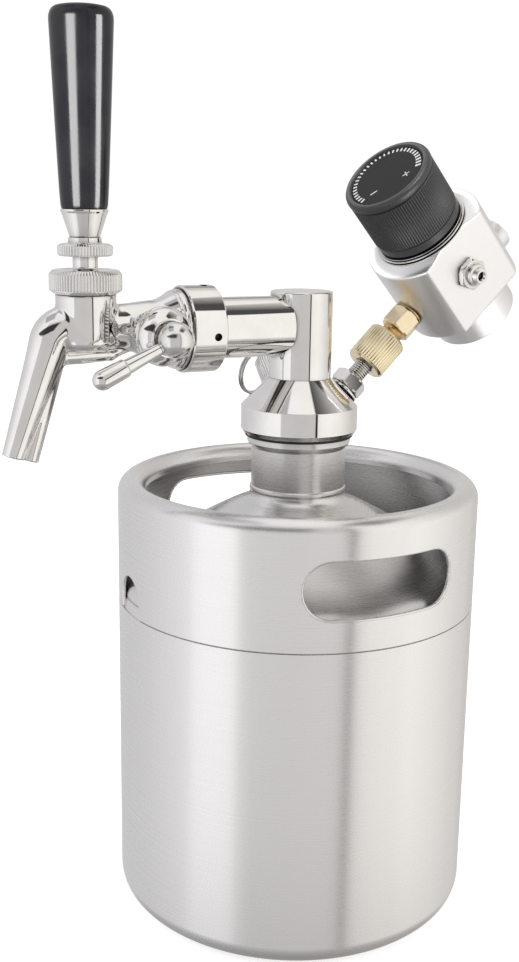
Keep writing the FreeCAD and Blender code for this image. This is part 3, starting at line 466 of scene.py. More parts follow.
# The keg steel again, with painted shade that darkens its hollows: the collar, the dome and the neck.
KEG_STEEL_PAINTED_SHADE = brushed_steel("keg_steel_painted_shade", depth=0.045)
KNOB_GRIP = moulded("knob_grip", (0.022, 0.022, 0.023), (0.034, 0.034, 0.035), 0.34, 1800, 0.15, 0.45)
WARM_BRASS = polished_metal("warm_brass", (0.74, 0.50, 0.26), 0.2, 0.1)
SOFT_STEEL = polished_metal("soft_steel", (0.86, 0.85, 0.83), 0.14, 0.06)
# Near-black fill for holes: painted shadow where the inside of a hole is only in shade.
HOLE_PAINTED_SHADOW = moulded("hole_painted_shadow", (0.01, 0.01, 0.01), (0.02, 0.02, 0.02), 0.5, 400, 0.0)
WHITE_PRINT = moulded("white_print", (0.75, 0.75, 0.75), (0.86, 0.86, 0.86), 0.45, 700, 0.0)


def dress_cad():
    """Every CAD node that still shows gets its slot's material."""
    for node, obj in frame["nodes"].items():
        obj.data.materials.clear()
        obj.data.materials.append(MATERIALS[SLOT_OF[node]])


def settle(obj, *nodes, material=None, body=None, slot=None):
    """Give a finished piece its material, its body and the CAD nodes it stands for."""
    slot = slot or SLOT_OF[nodes[0]]
    obj.data.materials.clear()
    obj.data.materials.append(material or MATERIALS[slot])
    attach(obj, body or BODY_OF[nodes[0]])
    if nodes:
        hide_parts(*nodes)
    return obj


def turned(name, node, outline, local=PLAIN, material=None, **options):
    """A turned piece that stands for one CAD node."""
    settle(lathe(name, outline, local, **options), node, material=material)


def extra(name, slot, outline, local, material=None, **options):
    """A turned detail of the head with no CAD node of its own."""
    settle(lathe(name, outline, local, **options), body="head", slot=slot, material=material)


# ---- keg

KEG_R, SEAM, RIM_TOP, ROLL, DOME_R = 82.5, 145.6, 201.6, 6.0, 300.0


def arc_points(centre, radius, start, end, steps):
    """An arc between two angles in degrees, with corners that stay unrounded."""
    return [(centre[0] + radius * math.cos(turn), centre[1] + radius * math.sin(turn), 0)
            for turn in np.radians(np.linspace(start, end, steps))]


def dome_height(radius):
    """Height of the dome's outside over its circle of curvature."""
    start, end = np.array((74.2, 162.0)), np.array((27.0, 190.5))
    chord = end - start
    left = np.array((-chord[1], chord[0])) / np.linalg.norm(chord)
    rise = math.sqrt(DOME_R ** 2 - float(chord @ chord) / 4)
    centre = (start + end) / 2 + left * rise
    return centre[1] + math.sqrt(DOME_R ** 2 - (radius - centre[0]) ** 2)


def keg():
    corner = arc_points((KEG_R - 10.3, 10.3), 10.3, -90, 0, 16)
    cup = [(0, 0)] + corner + [
        (KEG_R, 60, 0), (KEG_R, 110, 0), (KEG_R, SEAM - 0.2, 0.15), (81.8, SEAM - 0.1, 0.1), (81.0, 150),
        (79.8, 150), (79.8, 12, 6), (70, 2.4, 0), (0, 2.4)]
    turned("keg_cup", "keg_shell", cup, soft=0.3, segments=192)
    knuckle = arc_points((67.0, 150.0), 14.0, 0, 56, 9)
    foot = arc_points((27.5, 196.5), 6.0, 250, 180, 7)
    dome = [(x, dome_height(x), 0) for x in np.linspace(72.5, 30.5, 14)]
    inner = [(x - 0.6, z - 1.2, 0) for x, z, _ in dome[::-1]]
    hem = [(20.3, 196.5, 0), (20.3, 193.0, 0), (25.0, 189.3, 0)]
    shoulder = [(79.8, 150, 0.1)] + knuckle + dome + foot + hem + inner + [(77.5, 157.5, 0)]
    turned("keg_dome", "keg_shoulder", shoulder, material=KEG_STEEL_PAINTED_SHADE, soft=0, segments=160)
    neck = [
        (19.5, 195.5), (22.0, 195.5, 0.3), (22.2, 196.4, 0.3), (22.0, 197.4, 0.3), (21.5, 198.0, 0.3),
        (21.5, 216.0, 0.6), (22.9, 217.2, 0.4), (23.5, 218.2, 0.4), (23.5, 229.2, 0.3), (22.7, 230, 0.2),
        (19.5, 230)]
    turned("keg_spout_neck", "keg_neck", neck, material=KEG_STEEL_PAINTED_SHADE, segments=128)


def stadium(half, radius, height):
    """A long rounded loop at a height: (along, up) points."""
    bend = [(half + r, h) for r, h, _ in arc_points((0, 0), radius, -90, 90, 14)]
    ends = np.array(bend + [(-along, -up) for along, up in bend])
    spacing, loop = 2.5, []
    for point, following in zip(ends, np.roll(ends, -1, 0)):
        gap = math.dist(point, following)
        stride = (following - point) * spacing / gap
        loop += [point + stride * step for step in range(max(1, int(gap / spacing)))]
    return [(along, up + height) for along, up in loop]


def on_wall(along, height, radius, facing):
    """A point of the keg's wall: so many millimetres along it from the facing direction in degrees."""
    turn = math.radians(facing) + along / KEG_R
    return np.array((radius * math.cos(turn), radius * math.sin(turn), height))


def wall_lip(name, loop, radius, facing, closed=True):
    """A rolled lip round an opening in the collar."""
    path = [on_wall(along, height, KEG_R - radius, facing) for along, height in loop]
    outward = [np.array((p[0], p[1], 0)) / math.hypot(p[0], p[1]) for p in path]
    return sweep(name, path, radius, closed=closed, up=outward)


def collar():
    sheet, bead = 1.2, (KEG_R - ROLL, RIM_TOP - ROLL)
    outline = [
        (KEG_R - sheet, SEAM + 0.05), (KEG_R - 0.1, SEAM + 0.15, 0.35), (KEG_R, SEAM + 5, 0), (KEG_R, 172, 0)]
    outline += arc_points(bead, ROLL, 0, 180, 25)
    outline += [(bead[0] - ROLL, bead[1] - 2.0, 0.3), (bead[0] - ROLL + sheet, bead[1] - 2.0, 0.3)]
    outline += arc_points(bead, ROLL - sheet, 180, 0, 17) + [(KEG_R - sheet, 172, 0)]
    wall = lathe("keg_collar", outline, soft=0.2, segments=256)
    half, radius, height = 24.05, 13.15, 172.2
    cutters = [wall_cutter("slot_cutter%d" % facing, stadium(half, radius + 0.1, height), facing)
               for facing in (0, 180)]
    cutters += [wall_cutter("notch_cutter%d" % facing, arch(10.3, 163.4, SEAM - 3), facing)
                for facing in (-90, 90)]
    settle(carve(wall, cutters), "handle_collar", material=KEG_STEEL_PAINTED_SHADE)
    for side, facing in (("right", 0), ("left", 180)):
        lip = wall_lip("slot_lip_" + side, stadium(half, radius - 0.15, height), 0.8, facing)
        settle(lip, body="keg", slot="keg_steel")
    for side, facing in (("front", -90), ("rear", 90)):
        lip = wall_lip("notch_lip_" + side, arch(10.2, 163.3, SEAM + 0.9), 0.7, facing, closed=False)
        settle(lip, body="keg", slot="keg_steel")


def arch(radius, top, base):
    """A round-topped doorway outline from its left foot to its right foot."""
    spring = top - radius
    legs = [(-radius, base + (spring - base) * share) for share in np.linspace(0, 0.9, 5)]
    crown = [(-radius * math.cos(t), spring + radius * math.sin(t)) for t in np.linspace(0, math.pi, 19)]
    return legs + crown + [(radius, h) for _, h in legs[::-1]]


def wall_cutter(name, loop, facing):
    """A block with the loop's shape that runs through the collar wall."""
    inner = [on_wall(a, h, 60.0, facing) for a, h in loop]
    outer = [on_wall(a, h, 100.0, facing) for a, h in loop]
    count = len(loop)
    faces = [[i, (i + 1) % count, count + (i + 1) % count, count + i] for i in range(count)]
    faces += [list(range(count))[::-1], list(range(count, 2 * count))]
    obj = make_object(name, inner + outer, faces, smooth=False)
    work = bmesh.new()
    work.from_mesh(obj.data)
    bmesh.ops.recalc_face_normals(work, faces=work.faces)
    work.to_mesh(obj.data)
    work.free()
    return obj


# ---- head

def head():
    cone = [
        (7, 232), (23.8, 232), (23.8, 222.2), (25.3, 222.2, 0.2), (26.5, 224.2, 0.3), (26.5, 234.6, 0.3),
        (26.1, 235.0, 0.15), (14.0, 247.4, 0.1), (10, 247.4), (10, 240), (7, 240)]
    turned("cap_cone", "head_cap", cone, segments=160)
    ring = [(23.8, 220.9, 0.3), (24.7, 220.9, 0.4), (24.7, 222.2, 0.3), (23.8, 222.2)]
    turned("cap_seal_ring", "skirt_seal", ring, segments=128)
    post = [(0, 240), (9.95, 240), (9.95, 247.4), (14, 247.45, 0.1), (14, 286, 0.9), (0, 286)]
    turned("tower_post", "tower", post, soft=0.3, segments=128, steps=5)
    pipe = [(4, 9), (13.3, 9), (13.3, 44.8), (14.1, 44.8), (14.1, 46), (5, 46), (4, 45)]
    turned("shank_pipe", "shank_tube", pipe, SHANK, segments=128)
    turned("shank_seal", "shank_washer", [(5.2, 46), (14.1, 46), (14.1, 47), (5.2, 47)], SHANK)


def coupling_nut():
    outline = [
        (13.5, 43.5), (14.6, 43.5, 0.2), (17.9, 43.5, 0.3), (18.7, 44.3, 0.3), (18.7, 58.3, 0.5),
        (18.2, 58.8, 0.2), (17.6, 58.8, 0.2), (17.4, 58.2, 0.1), (16.9, 58.2, 0.1), (16.7, 58.8, 0.15),
        (14.5, 58.8), (14.5, 44.7), (13.5, 44.7)]
    nut = lathe("coupling_ring", outline, SHANK, segments=160)
    cutters = []
    for quarter in range(4):
        turn = SHANK @ place(0, 0, 48.4, ("Z", 90 * quarter - 5.5), ("Y", 90))
        cutters.append(lathe("spanner_cutter%d" % quarter, [(0, 15.7), (1.7, 15.7), (1.7, 22), (0, 22)], turn,
                             soft=0, segments=40))
        # A disc of painted shadow at the bottom of each spanner hole.
        floor_disc = [(0, 15.5), (1.68, 15.5), (1.68, 16.1, 0.2), (0.9, 16.6, 0.2), (0, 16.7)]
        extra("spanner_floor%d" % quarter, "dull_steel", floor_disc, turn, HOLE_PAINTED_SHADOW, segments=32)
    settle(carve(nut, cutters), "coupling_nut")


# ---- relief valve

EYE_HEIGHT = 21.0


def relief_valve():
    outline = [
        (2, -5.8), (3.95, -5.8), (3.95, 0), (7.7, 0, 0.3), (7.7, 2.6, 0.3), (6.8, 3.4, 0.1), (6.8, 15.6, 0.4),
        (5.8, 17.0, 0.3), (2.7, 17.0, 0.2), (2.7, 15.4), (5.2, 15.4), (5.2, 1.5), (2, 1.5)]
    turned("relief_housing", "relief_body", outline, RELIEF, segments=216,
           shape=knurl(36, 0.35, 3.9, 15.2, 6.0))
    stem = [(0, 3.0), (4.6, 3.0), (4.6, 4.4), (2.3, 4.4), (2.3, 18.9), (2.3, 23.0, 0.5), (1.6, 24.0, 0.4),
            (0, 24.2)]
    shaft = lathe("relief_pin", stem, RELIEF, segments=64)
    along_eye = Vector((0, 0, 1)).rotation_difference(ring_axes()[0]).to_matrix().to_4x4()
    hole = RELIEF @ place(0, 0, EYE_HEIGHT) @ along_eye
    cutter = lathe("eye_cutter", [(0, -6), (1.45, -6), (1.45, 6), (0, 6)], hole, soft=0, segments=32)
    settle(carve(shaft, [cutter]), "relief_stem")


def ring_axes():
    """The ring's direction through the eye and the way it hangs, in the relief valve's frame."""
    tangent = Vector((-0.58, 0.81, 0)).normalized()
    hang = Vector((-0.615, -0.45, -0.643))
    hang = (hang - tangent * hang.dot(tangent)).normalized()
    return tangent, hang


def pull_ring():
    """A split key ring: the wire goes round almost twice, side by side."""
    tangent, hang = ring_axes()
    radius = 10.5
    centre = Vector((0, 0, EYE_HEIGHT)) + hang * radius
    across = tangent.cross(hang).normalized()
    for turn, offset in (("a", -0.65), ("b", 0.65)):
        path = [centre + across * offset + (tangent * math.sin(angle) - hang * math.cos(angle)) * radius
                for angle in np.linspace(0, 2 * math.pi, 120, endpoint=False)]
        loop = sweep("ring_loop_" + turn, path, 0.72, RELIEF, around=16)
        settle(loop, "pull_ring", material=MATERIALS["dull_steel"])


# ---- gas line

def threads(radius, depth, low, high, pitch):
    """A thread look: rings that rise and fall along the axis."""
    rows = []
    count = int((high - low) / pitch)
    for index in range(count):
        start = low + index * pitch
        rows += [(radius - depth, start, 0)] + [(radius, start + pitch * share, 0) for share in (0.4, 0.6)]
    return rows + [(radius - depth, low + count * pitch, 0)]


def gas_line():
    washer = [(4.1, 0), (7.6, 0, 0.2), (7.6, 0.9, 0.3), (6.9, 1.6, 0.2), (4.1, 1.6)]
    turned("inlet_flange", "inlet_washer", washer, INLET)
    nipple = [(1.8, -5.8), (3.95, -5.8), (3.95, 1.6), (6.6, 1.6, 0.1), (8.1, 2.7, 0.1), (8.1, 7.4, 0.1),
              (6.6, 8.5, 0.1), (4.6, 8.6)]
    nipple += threads(4.2, 0.45, 8.8, 21.0, 1.1) + [(3.6, 21.6), (3.4, 22), (1.8, 22)]
    turned("inlet_stub", "inlet_nipple", nipple, INLET, MATERIALS["polished_steel"], soft=0.15, segments=144,
           shape=hexagonal(14.0, 1.8, 8.3, 0.3), sharp=24)
    nut = [(4.4, 16.3), (8.5, 16.3, 0.2), (9.4, 17.4, 0.2), (9.4, 33.2, 0.2), (8.5, 34.3, 0.3),
           (3.7, 34.3, 0.2), (3.7, 26.3), (4.4, 26.3)]
    turned("union_grip", "union_nut", nut, INLET, segments=320, shape=knurl(40, 0.5, 17.5, 33.1, 8.8))
    fitting = [(1.8, 23.6), (4.2, 23.6), (4.2, 26.0), (3.4, 26.0), (3.4, 34.8, 0.3), (5.4, 37.6, 0.3),
               (6.7, 38.2, 0.1), (7.85, 39.0, 0.1), (7.85, 47.4, 0.1), (6.7, 48.3, 0.1), (5.6, 48.8),
               (4.1, 49.0), (4.1, 57.0), (1.8, 57.0)]
    turned("outlet_hex", "outlet_fitting", fitting, INLET, soft=0.15, segments=144,
           shape=hexagonal(13.6, 38.1, 48.4, 0.15), sharp=24)
    flange = [(5.7, 48.4), (7.0, 48.4, 0.2), (7.0, 49.4, 0.2), (5.7, 49.4)]
    extra("outlet_ring", "brass", flange, INLET, WARM_BRASS)
    throat = [(3.42, 31.0), (3.9, 34.6, 0.2), (5.3, 36.9, 0.2), (5.45, 38.1), (3.42, 38.1)]
    extra("outlet_throat", "brass", throat, INLET, WARM_BRASS)


# ---- regulator

BLOCK_R, FLAT, PORT_LEVEL = 28.1, 20.8, 5.5


def regulator_field(p):
    """A round body milled flat front and back, with a hollowed shoulder and a boss behind."""
    n, g, k = p[..., 0], p[..., 1], p[..., 2]
    r = np.hypot(n, g)
    hollow = np.clip((BLOCK_R - r) / 6.1, 0, 1)
    roof = 24.6 + 2.2 * hollow ** 2.2
    body = smooth_max(r - BLOCK_R, -16.5 - k, 0.9)
    body = smooth_max(body, (k - roof) * 0.93, 0.7)
    body = smooth_max(body, np.abs(n) - FLAT, 0.5)
    boss = smooth_max(np.hypot(g, k - PORT_LEVEL) - 16.0, -n - 27.3, 1.2)
    boss = np.maximum(boss, n + 12.0)
    body = smooth_min(body, boss, 0.8)
    socket = np.maximum(np.hypot(n, g) - 16.5, 20.0 - k)
    return np.maximum(body, -socket)


def regulator():
    points, faces = net_mesh(regulator_field, (-29.3, -30.1, -18.1), (22.9, 30.1, 28.6), 0.6)
    settle(make_object("regulator_block", points, faces, REGULATOR), "regulator_body")
    front = REGULATOR @ place(0, -1.5, PORT_LEVEL, ("Y", 90))
    hexagon = [(1.6, 13), (4, 13), (4, FLAT), (5.9, FLAT, 0.1), (7.0, FLAT + 0.5, 0.1),
               (7.4, FLAT + 1.2, 0.1), (7.4, FLAT + 2.6, 0.1), (6.5, FLAT + 3.4, 0.2),
               (5.0, FLAT + 3.5, 0.2), (4.8, FLAT + 5.2, 0.3), (3.6, FLAT + 5.6, 0.2),
               (3.2, FLAT + 8.2, 0.3), (2.2, FLAT + 8.2, 0.3), (1.6, FLAT + 7.2)]
    turned("vent_nozzle", "vent_port", hexagon, front, MATERIALS["polished_steel"], soft=0.15, segments=144,
           shape=hexagonal(13.4, FLAT + 0.1, FLAT + 3.3), sharp=24)
    # The vent's core is painted shadow inside the nozzle's bore.
    core = [(0, 14.0), (1.3, 14.0), (1.3, FLAT + 6.5, 0.3), (0, FLAT + 6.7)]
    turned("vent_core", "vent_valve", core, front, HOLE_PAINTED_SHADOW, segments=32)
    rear = REGULATOR @ place(0, 0, PORT_LEVEL, ("Y", -90))
    plug = [(0, 16), (6, 16), (6, 27.3), (9.5, 27.3, 0.2), (9.5, 30.0, 0.9), (2.6, 30.2, 0.3),
            (2.2, 28.6, 0.2), (0, 28.6)]
    turned("rear_cap", "rear_plug", plug, rear)
    side = REGULATOR @ place(2, 0, -6, ("X", -90))
    plug = [(0, 19), (6, 19), (6, 26), (8, 26), (8, 31.5, 0.9), (2.6, 31.5, 0.3), (2.2, 29.8, 0.2), (0, 29.8)]
    turned("side_cap", "side_plug", plug, side)
    port = [(3.2, -18), (11.5, -18), (11.5, -22), (10.5, -22), (10.5, -30.6, 0.3), (11.0, -31.5, 0.3),
            (19.4, -31.5, 0.5), (20.3, -30.4, 0.4), (20.3, -17.0, 0.2), (19.8, -16.5), (13.9, -16.5),
            (13.9, -11), (3.2, -11)]
    turned("cylinder_collar", "cylinder_port", port, REGULATOR, segments=128)
    rings = [
        (13.6, 13), (17.45, 13), (17.45, 26.2), (21.6, 26.3, 0.2), (22.3, 26.7, 0.2), (22.3, 27.2, 0.2),
        (21.0, 27.4, 0.1), (21.0, 27.8, 0.1), (21.9, 28.0, 0.2), (21.9, 28.5, 0.2), (20.5, 28.7, 0.1),
        (20.5, 28.95, 0.1), (21.2, 29.1, 0.1), (21.2, 29.4, 0.1), (15.5, 29.4), (15.5, 46), (5.2, 46),
        (5.2, 42), (13.6, 42)]
    turned("bonnet_rings", "regulator_bonnet", rings, REGULATOR, segments=128)


def regulator_knob():
    outline = [
        (16.2, 29.5), (19.5, 29.5, 0.5), (20.4, 30.3, 0.4), (20.4, 33.8, 0.4), (19.8, 34.4, 0.2),
        (20.75, 34.9, 0.1), (20.75, 57.0, 0.1), (20.1, 57.4, 0.2), (20.1, 57.8, 0.2), (20.9, 58.4, 0.3),
        (20.9, 59.6, 0), (20.7, 60.4, 0), (20.2, 61.1, 0), (19.3, 61.5, 0), (18.2, 61.5, 0.3),
        (17.5, 60.7, 0.2), (17.3, 59.9), (4.9, 59.9), (4.9, 47), (16.2, 47)]
    turned("pressure_knob", "regulator_knob", outline, REGULATOR, KNOB_GRIP, segments=648,
           shape=knurl(108, 0.6, 35.0, 56.9, 19.9))
    face = [(0, 59.9), (17.25, 59.9), (17.25, 60.7, 0.1), (0, 60.7)]
    turned("dial_face", "dial_plate", face, REGULATOR, segments=128)
    settle(dial_marks(), body="knob", slot="white_plastic", material=WHITE_PRINT)


def dial_marks():
    """A scale of plain ticks that run from a minus to a plus."""
    vertices, faces = [], []
    sides = ((0, 2, 3, 1), (4, 5, 7, 6), (0, 1, 5, 4), (2, 6, 7, 3), (0, 4, 6, 2), (1, 3, 7, 5))

    def bar(angle, radius, length, width, turn=0.0):
        matrix = place(0, 0, 0, ("Z", angle)) @ place(radius, 0, 0, ("Z", turn))
        faces.extend([[len(vertices) + corner for corner in side] for side in sides])
        vertices.extend([matrix @ Vector((x * length, y * width, z))
                         for z in (60.68, 60.76) for y in (-0.5, 0.5) for x in (-0.5, 0.5)])

    ticks = 30
    for index in range(ticks):
        share = index / (ticks - 1)
        heavy = max(0.0, 1 - 2.2 * share) + 0.6 * max(0.0, 2.2 * share - 1.2)
        bar(36 + 231 * share, 16.0 - 0.55 * heavy, 1.6 + 1.1 * heavy, 0.8 + 0.3 * heavy)
    bar(17, 10.7, 3.4, 0.5, 45)
    bar(17, 10.7, 3.4, 0.5, -45)
    bar(-82, 10.5, 3.5, 0.6, 144)
    return make_object("dial_marks", vertices, faces, REGULATOR, smooth=False)


# ---- tap

def smooth_table(stations, sizes, spread=1.2):
    """A size that follows a table of stations without corners."""
    step, margin = 0.1, 6
    fine = np.arange(stations[0] - margin, stations[-1] + margin, step)
    reach = int(3 * spread / step)
    weights = np.exp(-0.5 * (np.arange(-reach, reach + 1) * step / spread) ** 2)
    values = np.pad(np.interp(fine, stations, sizes), reach, mode="edge")
    values = np.convolve(values, weights / weights.sum(), mode="valid")
    return lambda where: np.interp(where, fine, values)


NECK_RADIUS = smooth_table((58, 60.4, 62.8, 65.7, 68.6, 71.4, 74, 78, 84, 98),
                           (17.6, 17.2, 16.2, 14.6, 13.2, 12.5, 12.1, 11.0, 9.5, 9.2), 0.9)
NECK_HEIGHT = smooth_table((58, 71, 84, 98), (270.8, 270.8, 272.9, 273.1), 2.0)
SPINE_RADIUS = smooth_table((0, 11, 16, 21, 30, 45, 60, 70.5, 76),
                            (9.2, 9.1, 8.85, 8.4, 7.55, 6.55, 5.6, 4.95, 4.8), 1.5)
RIB_RADIUS = smooth_table((0, 12, 24, 34, 70), (3.2, 4.0, 4.1, 4.0, 3.5), 1.5)


def bent_bar(p, start, corner, end, bend, radius):
    """Distance to a bar in the plane x = 0 that runs toward a corner, turns there and runs to its end."""
    start, corner, end = (np.array(point, float) for point in (start, corner, end))
    first = (corner - start) / np.linalg.norm(corner - start)
    second = (end - corner) / np.linalg.norm(end - corner)
    turn = math.acos(float(first @ second))
    trim = bend * math.tan(turn / 2)
    arc_start, arc_end = corner - first * trim, corner + second * trim
    inward = second - first * float(first @ second)
    inward /= np.linalg.norm(inward)
    centre = arc_start + inward * bend
    flat = p[..., 1:]

    def distance(nearest, travelled):
        return np.hypot(p[..., 0], np.linalg.norm(flat - nearest, axis=-1)) - radius(travelled)

    run, rest = np.linalg.norm(arc_start - start), np.linalg.norm(end - arc_end)
    share = np.clip((flat - start) @ first, 0, run)
    best = distance(start + share[..., None] * first, share)
    share = np.clip((flat - arc_end) @ second, 0, rest)
    best = np.minimum(best, distance(arc_end + share[..., None] * second, run + bend * turn + share))
    offset = flat - centre
    angle = np.clip(np.arctan2(offset @ first, offset @ -inward), 0, turn)
    nearest = centre + bend * (np.cos(angle)[..., None] * -inward + np.sin(angle)[..., None] * first)
    return np.minimum(best, distance(nearest, run + bend * angle))


SPOUT_END, SPOUT_WAY = np.array((0, -132.0, 220.4)), np.array((0, -0.27, -0.963))


def faucet_field(p):
    """The tap's polished casting: neck, barrel, elbow, tapered spout and the rib under it."""
    x, y, z = p[..., 0], p[..., 1], p[..., 2]
    reach = -y
    neck = np.hypot(x, z - NECK_HEIGHT(reach)) - NECK_RADIUS(reach)
    neck = np.maximum(np.maximum(neck, 59.3 - reach), reach - 98)
    tail = np.maximum(np.maximum(np.hypot(x, z - TAP_HEIGHT) - 14.2, 47.0 - reach), reach - 62)
    barrel = np.hypot(x, reach - LEVER_REACH) - 12.5
    barrel = smooth_max(barrel, 264.0 - z, 5.0)
    body = smooth_min(neck, barrel, 1.6)
    spine = bent_bar(p, (-97.0, 273.1), (-113.9, 273.1), (-133.2, 217.5), 8.0, SPINE_RADIUS)
    body = smooth_min(body, spine, 1.6)
    body = smooth_min(body, rib_field(p), 0.7)
    boss = np.hypot(reach - FLOW_REACH, z - TAP_HEIGHT)
    sleeve = np.maximum(smooth_max(boss - 8.6, x - 13.0, 0.4), -x)
    lip = np.hypot(boss - 8.7, (x - 11.7) * 0.8) - 0.95
    body = smooth_min(body, smooth_min(sleeve, lip, 0.6), 1.2)
    body = np.minimum(body, tail)
    body = smooth_max(body, z - 286.9, 0.4)
    cut_off = (p - SPOUT_END) @ SPOUT_WAY
    body = smooth_max(body, cut_off, 0.4)
    from_axis = np.linalg.norm((p - SPOUT_END) - cut_off[..., None] * SPOUT_WAY, axis=-1)
    return smooth_max(body, -np.maximum(from_axis - 3.9, -24.0 - cut_off), 0.3)


def rib_field(p):
    """A round bar that runs back under the body, turns a tight corner and goes down behind the spout."""
    rib = bent_bar(p, (-90.0, 261.9), (-113.1, 261.8), (-126.4, 214.5), 6.0, RIB_RADIUS)
    root = round_cone(p, (0, -80.0, 265.5), (0, -90.5, 262.0), 2.6, 3.2)
    return smooth_min(rib, root, 1.0)


def faucet():
    points, faces = net_mesh(faucet_field, (-18.3, -139.3, 214.3), (18.3, -45.9, 288.4), 0.55)
    settle(make_object("tap_casting", points, faces), "faucet_body")
    extra("tap_collar", "polished_steel", [(9.4, 284), (11.5, 284), (11.5, 291.8), (9.4, 291.8)], LEVER)
    rings = [(14.6, 59.0), (17.15, 59.0, 0.2), (17.3, 60.2, 0.2), (16.75, 60.5, 0.1), (16.95, 60.8, 0.1),
             (16.9, 61.7, 0.2), (16.3, 62.0, 0.1), (16.5, 62.3, 0.1), (16.4, 63.0, 0.2), (15.6, 63.4, 0.2),
             (14.6, 63.4)]
    extra("tap_flange_rings", "polished_steel", rings, SHANK, segments=128)
    bonnet = [
        (11.6, 286.9), (12.9, 286.9, 0.2), (14.7, 288.0, 0.3), (15.0, 288.7, 0.1), (15.0, 294.9, 0.2),
        (13.6, 296.5, 0.3), (12.6, 296.7, 0.2), (9.7, 296.7, 0.3), (8.5, 294.0, 0.2), (9.5, 291.9),
        (11.6, 291.9)]
    turned("tap_bonnet", "faucet_bonnet", bonnet, LEVER, segments=432,
           shape=knurl(72, 0.5, 288.6, 295.6, 13.9))


def tap_lever():
    ball = arc_points((0, 290), 9.0, 13 - 90, 145 - 90, 26)
    outline = [(0, 267.5), (2, 267.5, 0.5), (2, 281.1, 0.1)] + ball + [
        (5.2, 298.0, 0.3), (5.2, 309.6), (4.7, 309.6), (4.7, 332.8), (0, 332.8)]
    turned("lever_stem", "tap_lever", outline, LEVER)
    nut = [(5.22, 302.1), (10.6, 302.1, 0.3), (11.25, 302.8, 0.2), (11.25, 306.2, 0.2), (9.7, 307.1, 0.3),
           (7.4, 307.2, 0.1), (6.9, 307.6, 0.1), (6.7, 309.6), (5.22, 309.6)]
    turned("lever_grip", "lever_nut", nut, LEVER, segments=336, shape=knurl(56, 0.45, 302.6, 306.4, 10.4))
    ferrule = [(4.72, 309.6), (6.1, 309.6, 0.3), (6.4, 310.4, 0.3), (7.9, 315.0, 0), (9.3, 319.2, 0.4),
               (9.75, 320.0, 0.3), (9.6, 320.8, 0.2), (4.72, 320.8)]
    turned("handle_foot", "handle_ferrule", ferrule, LEVER)
    grip = [(6.02, 320.8), (9.2, 320.85, 0.4), (9.6, 322.5, 0)]
    for share in np.linspace(0.08, 1, 12):
        grip.append((9.6 + 3.2 * share ** 0.9, 321.5 + 71.5 * share, 0))
    grip += [(12.75, 394.4, 0), (12.3, 396.0, 0), (11.5, 397.2, 0), (10.4, 397.9, 0), (8.0, 398.4, 0),
             (4.0, 398.85, 0), (0, 399.0), (0, 338.0), (6.02, 338.0)]
    turned("handle_grip", "tap_handle", grip, LEVER, soft=0.3)


# ---- flow control

def flow_control():
    nut = [(3.3, 10.5), (6.95, 10.5), (6.95, 13.1), (9.6, 13.1, 0.2), (10.5, 13.9, 0.2), (10.5, 19.6, 0.2),
           (9.7, 20.5, 0.3), (3.3, 20.5)]
    turned("flow_grip", "flow_bonnet", nut, FLOW, segments=320, shape=knurl(40, 1.1, 13.8, 19.7, 9.6))
    cap = [(3.3, 20.5), (11.3, 20.5, 0.2), (12.3, 21.4, 0.3), (12.3, 23.4, 0.5)]
    cap += [(11.9 - 3.8 * share ** 2.1, 24.2 + 5.7 * share, 0) for share in np.linspace(0, 1, 10)]
    cap += [(7.9, 30.1, 0.2), (7.1, 30.1, 0.3), (5.6, 28.2, 0.3), (3.3, 28.2)]
    turned("flow_dome", "flow_cap", cap, FLOW, segments=128)
    ball = arc_points((0, 36.5), 7.3, 24 - 90, 178 - 90, 40)
    spindle = [(0, 7), (3, 7), (3, 29.8, 0)] + ball + [(0, 43.8)]
    turned("flow_ball", "flow_spindle", spindle, FLOW, SOFT_STEEL, soft=0.15)
    dip = BALL @ place(0, 0, 0, ("X", 90 + 25))
    end = arc_points((0, 34.0), 4.1, 0, 88, 12)
    lever = [(0, 4.0), (2.15, 4.0), (2.15, 7.6, 0.1), (2.35, 8.0, 0.1), (3.15, 23.0, 0.3), (3.85, 23.7, 0.3)]
    lever += end + [(0, 38.1)]
    turned("flow_handle", "flow_lever", lever, dip, soft=0.15, segments=64)


# ---- camera, light and floor

CAMERA_PLACE = Vector((0.49005, -0.2551, 0.3292))
CAMERA_RIGHT = Vector((0.4301, 0.9027, 0.0150))
CAMERA_UP = Vector((-0.2142, 0.0859, 0.9730))


def camera():
    data = bpy.data.cameras.new("camera")
    data.sensor_width = 36.0
    data.lens = 45.96
    data.clip_start = 0.01
    obj = bpy.data.objects.new("camera", data)
    right = CAMERA_RIGHT.normalized()
    back = right.cross(CAMERA_UP).normalized()
    up = back.cross(right)
    turn = Matrix((right, up, back)).transposed().to_4x4()
    obj.matrix_world = Matrix.Translation(CAMERA_PLACE) @ turn
    SCENE.collection.objects.link(obj)
    bpy.context.scene.camera = obj


# How bright the studio is all round at eye level: degrees from the camera's direction, clockwise seen from
# below, against brightness. A dark gap stands between the front and the bright panel on the right.
ALL_ROUND = (
    (-180, 0.66), (-135, 0.66), (-108, 0.72), (-85, 0.84), (-60, 1.0), (-36.5, 1.04), (-34, 0.64), (0, 0.615),
    (32.2, 0.64), (33.2, 0.02), (36.6, 0.02), (37.6, 0.92), (46, 1.0), (64, 1.04), (80, 0.98), (100, 0.86),
    (129, 0.66), (155, 0.62), (180, 0.66))
